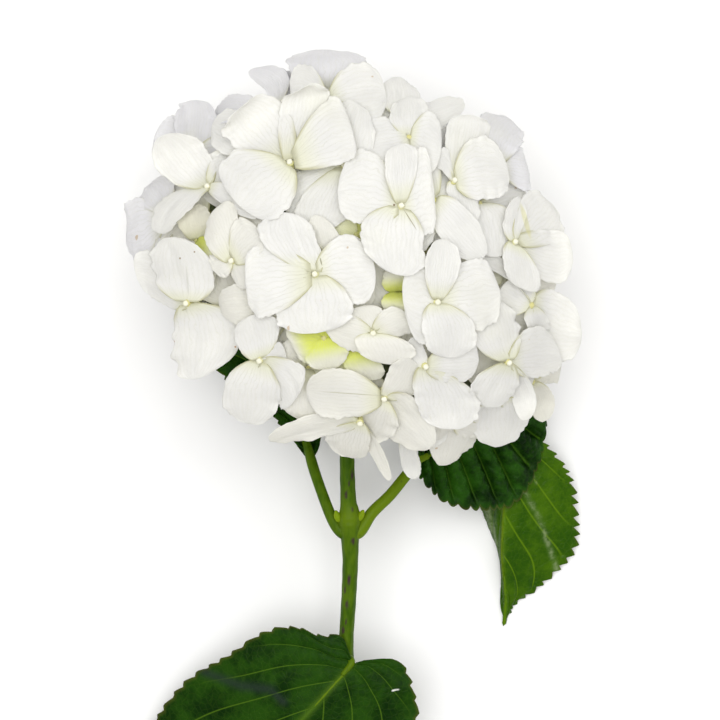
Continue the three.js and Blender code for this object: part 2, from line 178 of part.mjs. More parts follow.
    {c:[67.9,-10.5,45.7],sepals:[[71.9,7.2,60.1,74.3,-7.3,61.9,68.4,7.8,46.3],[72.7,-23.1,64.1,71.6,-27.5,50.9,73.1,-9.8,62],[60.4,-31.2,32.4,61.5,-16.6,28.4,68.7,-30.4,45.7],[60.7,5.1,28.3,67.8,7.8,41.4,61,-10.1,28.1]]},
    {c:[70.6,-21.7,65.8],sepals:[[69.1,-12.4,86.4,68.1,-27.6,83.9,72.6,-5.8,73.7],[61.9,-43.3,74.6,66.6,-39.7,60.1,66.8,-30.4,82.2],[66.2,-29,44.8,69.5,-15,50,66.1,-38.6,56.5],[70.8,-3.3,56.9,72.3,-5.1,70.4,67.3,-15,50.3]]},
    {c:[60,-39.8,47.4],sepals:[[68.1,-31.2,65.8,61.3,-43.8,64,66.7,-24.3,53.3],[48,-55.1,58.9,45.6,-51.6,44.3,59.6,-46.5,64.8],[43.6,-43.4,28.5,55.2,-32.5,29.5,45.3,-51.5,42],[65.6,-17.9,40.8,67,-24.4,53.3,59,-28.3,33]]}]],
  ['cymule_06',1,[29.2,17.4,60.9],[
    {c:[51.9,30.4,35.3],sepals:[[52,45.1,53.7,60.3,32.5,51.5,43.9,46.5,41],[66.8,18.5,51.7,63,14.3,37.4,59.2,31.7,53.1],[52,10.7,20.1,44,23.9,18.9,59.9,13,33.2],[32.6,39.6,21.4,40.2,45.8,33.7,41.6,27.1,18.8]]},
    {c:[61.3,20.3,70.2],sepals:[[54.1,26.5,90.9,62.9,13.7,87.8,53.8,35.5,78],[69.6,-0.7,79.2,71.2,4.7,64.1,63.3,10.9,87.8],[65.9,14.6,49.5,59.8,27,53.9,69.9,6.6,61.2],[53.9,41.6,64,55.5,36.2,78.3,58,29.6,55.4]]}]],
  ['cymule_04',5,[33.3,-41.7,61.2],[
    {c:[45.5,-48.9,34.7],sepals:[[55.8,-53.6,59,44.7,-60.4,50.8,60.3,-44.7,47.3],[25.3,-62.4,40.7,28.4,-54.9,27.3,39.4,-61.8,48.8],[32.1,-41.9,13.7,46.3,-37.2,18.8,28.9,-52.6,24.2],[62.7,-30.6,33,61.6,-41.9,44.4,51.1,-34.1,22.8]]},
    {c:[40.1,-62.2,64.3],sepals:[[52.2,-47.2,82.5,40.7,-58.9,84.2,56.9,-50.3,66.7],[23.5,-67.5,81,23.6,-69.6,66.6,36.8,-62,83],[24.1,-66.6,48.4,37,-59,46.4,22.6,-69.2,62.9],[51.6,-49.8,47,57.1,-51.6,62.2,39,-59,45.3]]}]],
  ['cymule_08',4,[-4,-22.6,29.4],[
    {c:[-11.2,-38,18.5],sepals:[[2.6,-55.5,26.1,-11.4,-51.6,29.7,5.9,-45.4,15.5],[-26.8,-45.5,34.7,-29.9,-37.6,22.2,-13.1,-48.7,33],[-30.3,-21.8,9.2,-15.5,-24.1,5,-31.1,-34.4,17.8],[6.7,-28.4,3.9,6.4,-41.6,10.8,-7.6,-25.9,3.9]]},
    {c:[-1.4,-14.2,2.4],sepals:[[-23.1,-11.2,3.3,-13.2,-0.3,1.9,-15.2,-24.2,4.6],[3,7.9,2.5,13.3,-3.2,1.6,-10.6,1.4,2.5],[21.4,-16.8,4,10.7,-27,2.8,13.9,-4.4,3.6],[-5.1,-32.6,10.9,-15,-23.3,6.6,7.6,-28.8,5.9]]},
    {c:[8.8,-44.3,18],sepals:[[27.6,-53.4,29.2,14,-57.5,28.2,27.1,-43,19.9],[-6.7,-53.9,31.5,-8.2,-44,23.4,6.7,-56.9,30.6],[-9.2,-29.4,12.4,4.3,-29.4,8.2,-8.3,-39.6,21.1],[23.4,-27.1,8.4,26.6,-39.6,15.9,8.8,-29.6,7.4]]}]],
  ['cymule_03',0,[-42.8,4.9,70.9],[
    {c:[-69.1,17.3,40.7],sepals:[[-77.6,0.6,56.9,-78.1,16.7,57.7,-70.6,-2.6,43.7],[-71,33.5,58.6,-66.4,35.5,45.4,-76.4,20,57.7],[-57.2,34.9,30.6,-58.9,21,25.5,-64.3,34.4,43.5],[-60.8,1.1,24.3,-68.8,-1.5,37.2,-58.6,16.9,24.5]]},
    {c:[-66.1,33.9,65.4],sepals:[[-72.7,17.2,82.1,-65.2,31.4,84.8,-75.9,16.6,66.2],[-53.7,47.6,81.7,-54.4,48.8,66,-62.9,35.4,84.8],[-54.2,45.5,49.7,-63.5,33.2,47.1,-52.5,47.5,64.8],[-72.8,19.1,48.8,-75.4,17.6,63.6,-64.8,31.8,47.5]]},
    {c:[-67.6,-0.7,68.1],sepals:[[-63.8,-10.6,87.7,-68.8,3.4,86,-57.1,-15.1,74.1],[-70.9,20.3,75.4,-72.5,16.2,60.9,-71,8.4,84.6],[-72.9,8.7,46.9,-66.3,-5.9,51.3,-72.4,16.2,60.4],[-54.9,-17.7,61.5,-54.3,-13.9,74.8,-62.4,-8,52.6]]}]],
  ['cymule_02',2,[-10.8,-33.4,83.7],[
    {c:[-25.9,-46.1,69.9],sepals:[[-16,-51.8,88.7,-31.5,-48.2,89.1,-11.7,-57.4,75.7],[-36,-30,84.8,-36.1,-32.5,69.2,-30.9,-45.4,88.8],[-35.2,-39.4,50.4,-26.2,-51.2,51.5,-35.5,-33,65.7],[-9.5,-61.2,57.1,-12.8,-61,72,-20.6,-51.3,53]]},
    {c:[-32.3,-26.8,87.2],sepals:[[-23.8,-47.7,87,-29.6,-43.3,99.4,-30.5,-42.1,76.6],[-37.7,-25.2,110.8,-49.2,-21.7,99.8,-31.4,-38.2,103.6],[-56.4,-16.7,83.5,-53.1,-28.4,76,-49.9,-19.9,96.1]]},
    {c:[-10.7,-46.4,83.8],sepals:[[10.1,-55.9,100,-5.9,-50.1,103.5,7.5,-62.7,84.4],[-24.3,-39.5,103.3,-28.3,-43.8,88.2,-9.5,-45.7,103],[-26.9,-42.7,69.3,-15.5,-48.3,67.4,-27.3,-43,82.1],[0.6,-64.2,64.1,6,-64.4,79.1,-13.4,-57.4,65.9]]}]],
  ['cymule_05',4,[-16.6,9.4,32.3],[
    {c:[-14.5,49.1,18.8],sepals:[[-34.5,50,30.7,-23,58.5,30.9,-31.3,41.4,20.5],[-6,65.8,32.3,0.7,57,23.2,-19.3,60.9,31.6],[7.4,44,13.1,-4.8,38,6.9,2.4,54.5,22.1],[-18.7,28.8,6.6,-28.7,37.3,14.7,-5.4,36.8,7.5]]},
    {c:[-43.9,28.9,20.2],sepals:[[-60.9,26,35.1,-53.5,37.8,32.5,-56.4,17.2,25.1],[-33.5,48,31.2,-29.7,40.1,20.9,-46.5,42.3,32.5],[-22.1,29.5,8.6,-33.2,19.9,7.7,-27.8,38.3,18.6],[-47.3,4.6,16.4,-55.1,14.6,24.7,-36.6,13.6,11.3]]}]],
  ['cymule_12',1,[15.2,30.7,71.7],[
    {c:[37.2,50.7,74.3],sepals:[[17.5,59.5,77.3,25.7,54.8,87.5,25.1,58.8,65.5],[38.1,42.7,96.1,48.8,41.6,85.4,28.7,52,89.8],[54.8,37.2,67.1,48.5,48.7,59.8,50.2,39.1,80.9],[35.4,51.9,52.4,27.1,57.2,62.4,47.2,47.6,58.7]]},
    {c:[13.9,58.9,79.4],sepals:[[0.2,50.9,95.5,14.6,48.8,93.9,-4,61.6,84.5],[33.2,48.4,87.3,30.2,52.9,73.7,20.9,51.4,94.6],[26.6,56.5,58.4,11.3,60.4,60.5,31.1,52.9,72.6],[-8,69.9,69.6,-4.2,67.7,84.9,6,63.1,62.9]]}]],
];

// ---------------------------------------------------------------- solids
const wasm = await Module();
wasm.setup();

function solid(geometry) {
  geometry.deleteAttribute('normal');
  geometry.deleteAttribute('uv');
  const g = mergeVertices(geometry, 1e-4);
  return new wasm.Manifold(new wasm.Mesh({
    numProp: 3,
    vertProperties: new Float32Array(g.attributes.position.array),
    triVerts: new Uint32Array(g.index.array),
  }));
}

const V = (a) => new THREE.Vector3(a[0], a[1], a[2]);

// A tube of changing radius along a smooth line through the points x, y, z, radius.
function tube(points, sides, steps, grow = 0, slant = 0) {
  const curve = new THREE.CatmullRomCurve3(points.map(V), false, 'centripetal');
  const g = new THREE.CylinderGeometry(1, 1, 1, sides, steps, false);
  const p = g.attributes.position;
  const n = points.length - 1;
  const side = new THREE.Vector3(), t = new THREE.Vector3(), c = new THREE.Vector3(), b = new THREE.Vector3();
  for (let i = 0; i < p.count; i++) {
    const u = Math.min(1, Math.max(0, p.getY(i) + 0.5));
    const k = Math.min(n - 1, Math.floor(u * n));
    const r = THREE.MathUtils.lerp(points[k][3], points[k + 1][3], u * n - k) + grow;
    curve.getPoint(u, c);
    curve.getTangent(u, t);
    side.set(0, 0, 1);
    if (Math.abs(t.z) > 0.8) side.set(1, 0, 0);
    b.crossVectors(side, t).normalize();
    side.crossVectors(t, b).normalize();
    const x = p.getX(i) * r, z = p.getZ(i) * r;
    c.addScaledVector(side, x).addScaledVector(b, z);
    if (slant && u < 1e-6) c.addScaledVector(t, -x * slant);
    if (grow && (u < 1e-6 || u > 1 - 1e-6)) c.addScaledVector(t, u < 0.5 ? -grow : grow);
    p.setXYZ(i, c.x, c.y, c.z);
  }
  return solid(g);
}

function ball(centre, radius, columns = 8, rows = 6) {
  const g = new THREE.SphereGeometry(radius, columns, rows);
  g.translate(centre[0], centre[1], centre[2]);
  return solid(g);
}

// Bends a box into a thin curved plate: at(s, v) gives the middle surface for s from base to
// tip and v from -1 to 1 across it.
function plate(at, thickness, across, along, sAt) {
  const g = new THREE.BoxGeometry(1, 1, 1, across, along, 1);
  const p = g.attributes.position;
  const du = new THREE.Vector3(), dv = new THREE.Vector3(), n = new THREE.Vector3();
  for (let i = 0; i < p.count; i++) {
    const v = p.getX(i) * 2, s = sAt(p.getY(i) + 0.5);
    const e = 0.02;
    const c = at(s, v);
    dv.copy(at(s, Math.min(1, v + e))).sub(at(s, Math.max(-1, v - e)));
    du.copy(at(Math.min(1, s + e), v)).sub(at(Math.max(0, s - e), v));
    n.crossVectors(dv, du).normalize();
    c.addScaledVector(n, p.getZ(i) * thickness);
    p.setXYZ(i, c.x, c.y, c.z);
  }
  return solid(g);
}

// The sepals of one floret as a single lobed dish round its centre. Each sepal gives two
// shoulders and two points at its tip, and neighbours that overlap share one point.
function dish(f, out, grow = 0) {
  const C = V(f.c);
  const tips = f.sepals.map((q) => ({ T: V(q), A: V(q.slice(3)), B: V(q.slice(6)) }));
  const n = new THREE.Vector3();
  for (const { A, B } of tips) {
    const c = new THREE.Vector3().crossVectors(A.clone().sub(C), B.clone().sub(C));
    n.addScaledVector(c, c.dot(out) < 0 ? -1 : 1);
  }
  n.normalize().multiplyScalar(0.6).addScaledVector(out, 0.4).normalize();
  const ez = V(f.sepals[0]).sub(C).projectOnPlane(n).normalize(), ex = new THREE.Vector3().crossVectors(n, ez);
  const angle = (P) => { const d = P.clone().sub(C); return Math.atan2(d.dot(ex), d.dot(ez)); };
  const turn = (a) => a - 2 * Math.PI * Math.floor(a / (2 * Math.PI));
  const signed = (a) => { const t = turn(a); return t > Math.PI ? t - 2 * Math.PI : t; };
  for (const t of tips) {
    t.a = turn(angle(t.T));
    let l = signed(angle(t.A) - t.a), r = signed(angle(t.B) - t.a);
    if (l < r) [t.A, t.B, l, r] = [t.B, t.A, r, l];
    t.l = THREE.MathUtils.clamp(l, 0.12, 1.1);
    t.r = THREE.MathUtils.clamp(-r, 0.12, 1.1);
  }
  tips.sort((p, q) => p.a - q.a);
  const rim = [];
  const count = tips.length;
  tips.forEach((t, i) => {
    const next = tips[(i + 1) % count];
    const step = count === 1 ? 2 * Math.PI : turn(next.a - t.a);
    const half = 0.35 * Math.min(t.l, t.r, 0.6);
    const near = (P, side) => C.clone().lerp(P.clone().lerp(side, 0.3), 0.97);
    if (f.inner) rim.push([t.a, t.T]);
    else rim.push([t.a - half, near(t.T, t.B)], [t.a + half, near(t.T, t.A)]);
    if (t.l + next.r > step - 0.2) {
      const k = t.l / (t.l + next.r);
      rim.push([t.a + THREE.MathUtils.clamp(step * k, half + 0.08, step - 0.3), t.A.clone().lerp(next.B, 0.5)]);
    } else {
      rim.push([t.a + t.l, t.A]);
      const steps = f.inner ? 2 : Math.min(3, 2 + Math.floor((step - t.l - next.r) / 1.3));
      for (let g = 1; g < steps; g++) {
        const a = t.a + t.l + (step - t.l - next.r) * g / steps;
        rim.push([a, C.clone().addScaledVector(ez, Math.cos(a) * 3.4).addScaledVector(ex, Math.sin(a) * 3.4)]);
      }
      rim.push([t.a + step - next.r, next.B]);
    }
  });
  // Each rim point keeps its distance and height at its own angle, so the outline stays a star.
  const g = new THREE.CylinderGeometry(1, 1, 1, rim.length, 1);
  const p = g.attributes.position;
  const half = SEPAL_THICKNESS / 2 + grow;
  for (let i = 0; i < p.count; i++) {
    const x = p.getX(i), z = p.getZ(i);
    const q = C.clone();
    if (x * x + z * z > 0.25) {
      const [a, P] = rim[Math.round(turn(Math.atan2(x, z)) / (2 * Math.PI) * rim.length) % rim.length];
      const d = P.clone().sub(C), h = d.dot(n), r = d.projectOnPlane(n).length() + grow;
      q.addScaledVector(ez, Math.cos(a) * r).addScaledVector(ex, Math.sin(a) * r).addScaledVector(n, h);
    }
    q.addScaledVector(n, p.getY(i) > 0 ? half : -half);
    p.setXYZ(i, q.x, q.y, q.z);
  }
  return solid(g);
}

function floret(f, root, grow = 0) {
  const C = V(f.c), axis = C.clone().sub(V(root)).normalize();
  const top = C.clone().addScaledVector(axis, 1.5), under = C.clone().addScaledVector(axis, -2.2);
  const stalk = tube([[...top.toArray(), BOSS_RADIUS * 0.8], [...under.toArray(), PEDICEL_RADIUS * 1.25], [...root, PEDICEL_RADIUS]], 4, 2, grow);
  return dish(f, axis, grow).add(stalk);
}

function floretNode(name, ray, fork, florets, grow = 0) {
  const inner = name.startsWith('cymule');
  if (!fork) return floret(florets[0], KNOBS[ray], grow);
  let m = ball(fork, CYME_FORK_RADIUS + grow, 5, 3)
    .add(tube([[...fork, CYME_STALK_RADIUS], [...KNOBS[ray], CYME_STALK_RADIUS]], 5, 1, grow));
  for (const f of florets) m = m.add(floret({ ...f, inner }, fork, grow));
  return m;
}

// Leaf blade through its three lines, with the petiole that carries it.
function leaf(name, grow = 0) {
  const [mid, left, right] = LEAVES[name].map((line) => new THREE.CatmullRomCurve3(line.map(V), false, 'centripetal'));
  const lines = LEAVES[name].map((line) => line.map(V));
  const n = lines[0].length - 1;
  const on = (row, s) => {
    const k = Math.min(n - 1, Math.floor(s * n)), f = s * n - k;
    return lines[row][k].clone().lerp(lines[row][k + 1], f);
  };
  const at = (s, v) => {
    const m = on(0, s), e = on(v < 0 ? 1 : 2, s), a = Math.abs(v) * (grow ? 1.02 : 1);
    return m.lerp(e, a);
  };
  const first = 0.015, last = 0.975;
  return plate(at, LEAF_THICKNESS + 2 * grow, 4, n, (u) => THREE.MathUtils.clamp(u, first, last))
    .add(tube(PETIOLES[name], 7, 8, grow));
}

const stemSolid = (grow) => tube(STEM, 12, 28, grow, CUT_SLANT).add(ball([0, -22, 62], HUB_RADIUS + grow, 10, 8));
const raySolid = (k, grow) => tube([[0, -22, 62, RAY_RADIUS + 0.2], [...KNOBS[k], RAY_RADIUS]], 7, 1, grow)
  .add(ball(KNOBS[k], KNOB_RADIUS + grow, 10, 8));
function bud(x, y, z, lean, grow) {
  const g = new THREE.SphereGeometry(1, 8, 8);
  g.scale(1.75 + grow, 2.4 + grow, 1.5 + grow);
  g.rotateZ(lean);
  g.translate(x, y, z);
  return solid(g);
}

// ---------------------------------------------------------------- pieces, kept clear of each other
const head = new THREE.Group();
head.position.set(-ORIGIN[0], -ORIGIN[1], -ORIGIN[2]);
const keepClear = []; // grown copies of the pieces already made, with their boxes

function boxOf(m) {
  const b = m.boundingBox();
  return new THREE.Box3(V(b.min), V(b.max));
}

// The one body of m that counts: the one that holds most of the anchor solid, or the biggest.
function mainBody(m, anchor) {
  const bodies = m.decompose();
  if (bodies.length < 2) return m;
  const score = (body) => (anchor ? body.intersect(anchor).volume() * 1000 : 0) + body.volume();
  return bodies.reduce((p, q) => (score(q) > score(p) ? q : p));
}

// Cuts make(0) back from every earlier piece and keeps its main body.
function addPiece(name, make, colour, roughness, anchor) {
  let m = make(0);
  const box = boxOf(m);
  for (const [b, other] of keepClear) if (b.intersectsBox(box)) m = m.subtract(other);
  m = mainBody(m, anchor);
  m = mainBody(m.asOriginal().simplify(DETAIL), anchor);
  const out = m.getMesh();
  const geometry = new THREE.BufferGeometry();
  const points = new Float32Array((out.vertProperties.length / out.numProp) * 3);
  for (let i = 0; i < points.length / 3; i++)
    for (let k = 0; k < 3; k++) points[i * 3 + k] = out.vertProperties[i * out.numProp + k];
  geometry.setAttribute('position', new THREE.BufferAttribute(points, 3));
  geometry.setIndex(new THREE.BufferAttribute(new Uint32Array(out.triVerts), 1));
  geometry.computeVertexNormals();
  const mesh = new THREE.Mesh(geometry, new THREE.MeshStandardMaterial({ color: colour, roughness, metalness: 0 }));
  mesh.name = name;
  head.add(mesh);
  keepClear.push([box.clone().expandByScalar(1), make(CLEARANCE)]);
}

const STEM_GREEN = 0x4f7a1e, LEAF_GREEN = 0x1f4d14, LEAF_LIGHT = 0x4a7a1c, BUD_GREEN = 0x9dc23a;
const SEPAL_WHITE = 0xf7f6f2, BRANCH_GREEN = 0xa9b56a;

addPiece('stem', stemSolid, STEM_GREEN, 0.55);
for (let k = 0; k < KNOBS.length; k++)
  addPiece(`head_branch_${k + 1}`, (grow) => raySolid(k, grow), BRANCH_GREEN, 0.6, ball(KNOBS[k], KNOB_RADIUS));
const bladeAnchor = (name) => {
  const line = LEAVES[name][0];
  return ball(line[Math.floor(line.length / 2)], 8);
};
addPiece('leaf_lower', (grow) => leaf('leaf_lower', grow), LEAF_GREEN, 0.45, bladeAnchor('leaf_lower'));
addPiece('leaf_right', (grow) => leaf('leaf_right', grow), LEAF_GREEN, 0.5, bladeAnchor('leaf_right'));
addPiece('leaf_rear', (grow) => leaf('leaf_rear', grow), LEAF_LIGHT, 0.35, bladeAnchor('leaf_rear'));
addPiece('leaf_left', (grow) => leaf('leaf_left', grow), LEAF_GREEN, 0.5, bladeAnchor('leaf_left'));
addPiece('bud_left', (grow) => bud(-5.5, -96.4, 46.9, 0.35, grow), BUD_GREEN, 0.5);
addPiece('bud_right', (grow) => bud(3.2, -96.1, 47.0, -0.5, grow), BUD_GREEN, 0.5);
for (const [name, ray, fork, florets] of FLORETS)
  addPiece(name, (grow) => floretNode(name, ray, fork, florets, grow), SEPAL_WHITE, 0.7, ball(fork || florets[0].c, BOSS_RADIUS));

const part = new THREE.Group();
part.add(head);
export default part;
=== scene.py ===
"""Looks of the cut hydrangea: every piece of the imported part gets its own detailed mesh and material."""
import math

import bpy
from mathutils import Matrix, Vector
import numpy as np


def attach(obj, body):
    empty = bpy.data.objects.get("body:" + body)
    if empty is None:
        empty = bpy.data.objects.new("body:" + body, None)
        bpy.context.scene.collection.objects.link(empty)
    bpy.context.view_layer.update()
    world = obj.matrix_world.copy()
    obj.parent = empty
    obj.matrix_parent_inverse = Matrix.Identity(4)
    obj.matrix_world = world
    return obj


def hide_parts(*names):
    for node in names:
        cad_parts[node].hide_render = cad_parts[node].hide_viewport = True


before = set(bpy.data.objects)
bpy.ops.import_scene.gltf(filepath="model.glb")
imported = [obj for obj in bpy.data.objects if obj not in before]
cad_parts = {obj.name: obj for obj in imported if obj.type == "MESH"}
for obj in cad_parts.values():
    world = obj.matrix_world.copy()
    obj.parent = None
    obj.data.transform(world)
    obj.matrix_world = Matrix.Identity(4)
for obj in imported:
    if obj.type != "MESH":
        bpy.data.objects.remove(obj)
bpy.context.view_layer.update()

# ------------------------------------------------------------------ tables, mm, measured from the head's centre line
ORIGIN = np.array([0.15, -109.07, -0.10])
HUB = np.array([0.0, -22.0, 62.0])
STEM = [ [-4.4, -292, 2.56, 3.15], [-4.4, -270, 7.8, 3.0], [-4.2, -235, 15.9, 2.9], [-3.9, -200, 23.5, 2.85], [-3.4, -170, 30.0, 2.85], [-3.0, -158, 32.6, 3.0], [-2.8, -152, 33.9, 3.3], [-2.5, -146, 35.2, 3.0], [-2.0, -139, 36.7, 2.75], [-1.3, -128, 39.1, 2.85], [-0.7, -114, 42.1, 2.95], [-0.8, -106, 43.9, 3.4], [-0.9, -99, 45.4, 4.2], [-1.1, -94, 46.4, 3.7], [-1.5, -89, 47.5, 2.95], [-1.9, -72, 51.2, 2.75], [-1.2, -50, 56.0, 2.7], [0, -22, 62, 2.9]]
PETIOLES = {
    "leaf_left": [[-1.5, -103.5, 44.6, 2.6], [-4.8, -101.5, 44.6, 2.4], [-8.2, -96.2, 43.2, 2.1], [-12.7, -84.6, 39.2, 2.0], [-15.4, -76.6, 35.6, 2.0], [-17.2, -70.4, 32.0, 1.7], [-19.6, -63.5, 27.6, 1.1]],
    "leaf_right": [[0.3, -103.2, 44.7, 2.6], [3.2, -101.6, 44.6, 2.5], [7.6, -95.1, 44.0, 2.2], [14.5, -88.4, 42.5, 2.1], [21.4, -80.0, 40.0, 2.0], [24.9, -75.3, 38.1, 1.8], [29.0, -73.6, 36.8, 1.2]],
    "leaf_rear": [[0, -58, 53, 2.0], [6, -61, 50.5, 1.9], [14, -62.2, 44.3, 1.8], [32, -61.5, 31.5, 1.7], [48, -60, 22, 1.6], [58, -58.3, 17.6, 1.5], [61.2, -63.0, 16.6, 1.0]],
    "leaf_lower": [[-2.6, -152, 34.5, 2.0], [-1.2, -151.6, 38.0, 1.8], [-0.4, -153.1, 39.9, 1.4], [-3.6, -157.2, 40.0, 0.9]],
}
LEAVES = {
    "leaf_left": [
        [(-15.8, -74.6, 34.2), (-18.3, -66.5, 29.5), (-23, -55, 22), (-31, -40, 12), (-39, -23, 6), (-47, -5, 3.5), (-53, 9, 3), (-58, 20, 3)],
        [(-17.2, -74.8, 34.4), (-22.6, -68.6, 30.4), (-32.5, -57, 25), (-46.5, -46.5, 17), (-56.5, -34, 12.5), (-62, -9, 10), (-60, 8, 6), (-58, 20, 3)],
        [(-14.4, -74.2, 34), (-12.2, -67.8, 30), (-11.5, -52, 21), (-15, -34, 7), (-20, -17, 1.6), (-30, -1, 1), (-43, 11, 1.4), (-58, 20, 3)],
    ],
    "leaf_right": [
        [(24.9, -75.1, 38), (29.9, -73.3, 36.5), (38.4, -70.3, 33.5), (48.6, -66.5, 29), (58.5, -62.8, 24), (68.5, -58.2, 18), (75.8, -54.8, 13)],
        [(25.3, -74, 38), (26.8, -66.7, 36), (35.7, -56.8, 34), (45.5, -50.3, 30), (56.5, -46.4, 25), (67.3, -47.7, 19), (75.8, -54.8, 13)],
        [(24.1, -75.9, 38), (26.9, -82.5, 34.5), (37, -92, 29), (51.6, -94.3, 22), (64.7, -91.4, 16), (74.3, -72.8, 12.5), (75.8, -54.8, 13)],
    ],
    "leaf_rear": [
        [(60.8, -57.8, 17), (60.4, -64.9, 16.5), (60.1, -80.5, 15.5), (59.3, -96.2, 14), (58.7, -112.4, 11), (59.7, -125.3, 7), (60.2, -132.9, 4.5), (59.7, -141.9, 1.2)],
        [(61.9, -57.4, 17), (69.6, -63.4, 13), (85.2, -81.6, 8), (88.5, -99.4, 5), (87.1, -112.1, 3), (74.1, -126, 2), (64.6, -133.2, 1.6), (59.7, -141.9, 1.2)],
        [(59.6, -58.2, 17), (55.6, -66.6, 10), (50.3, -83.3, 4), (51.6, -97.6, 1.5), (57.2, -113.4, 1), (59.1, -125.7, 1), (59.5, -133.2, 1), (59.7, -141.9, 1.2)],
    ],
    "leaf_lower": [
        [(0.3, -153.2, 39.9), (-0.7, -154.3, 40.1), (-2.8, -156.6, 40.2), (-6.1, -160.3, 39.8), (-12.6, -167.6, 38.5), (-21.8, -177.8, 35.5), (-34.9, -192.9, 29), (-49.7, -209.9, 20), (-64.6, -227.1, 11), (-77, -241.3, 4), (-85.1, -250.5, 1.2)],
        [(-0.3, -151.6, 40), (-4.2, -142.4, 41.4), (-12.1, -142.3, 41), (-21.6, -139.2, 38.2), (-33.8, -141.4, 34.5), (-48.1, -151, 29), (-65.7, -162.7, 19), (-80.3, -183.7, 10), (-87.9, -209.9, 4), (-88.2, -232.6, 1.6), (-85.1, -250.5, 1.2)],
        [(3, -152, 39.7), (15.6, -151.4, 39.2), (20.8, -155.9, 38.6), (23.4, -163.5, 38), (25, -174.6, 35.5), (17.1, -193, 31), (1.9, -214.1, 24), (-19.5, -233.2, 14), (-45, -245.7, 7), (-67.4, -250.3, 2.4), (-85.1, -250.5, 1.2)],
    ],
}
KNOBS = [(-22.6, -4.8, 81.4), (6.8, 11, 67.5), (-0.9, -28.2, 86.5), (14, -5.2, 88.2), (-6.3, -14.8, 42.8), (25.5, -30.4, 70.9)]
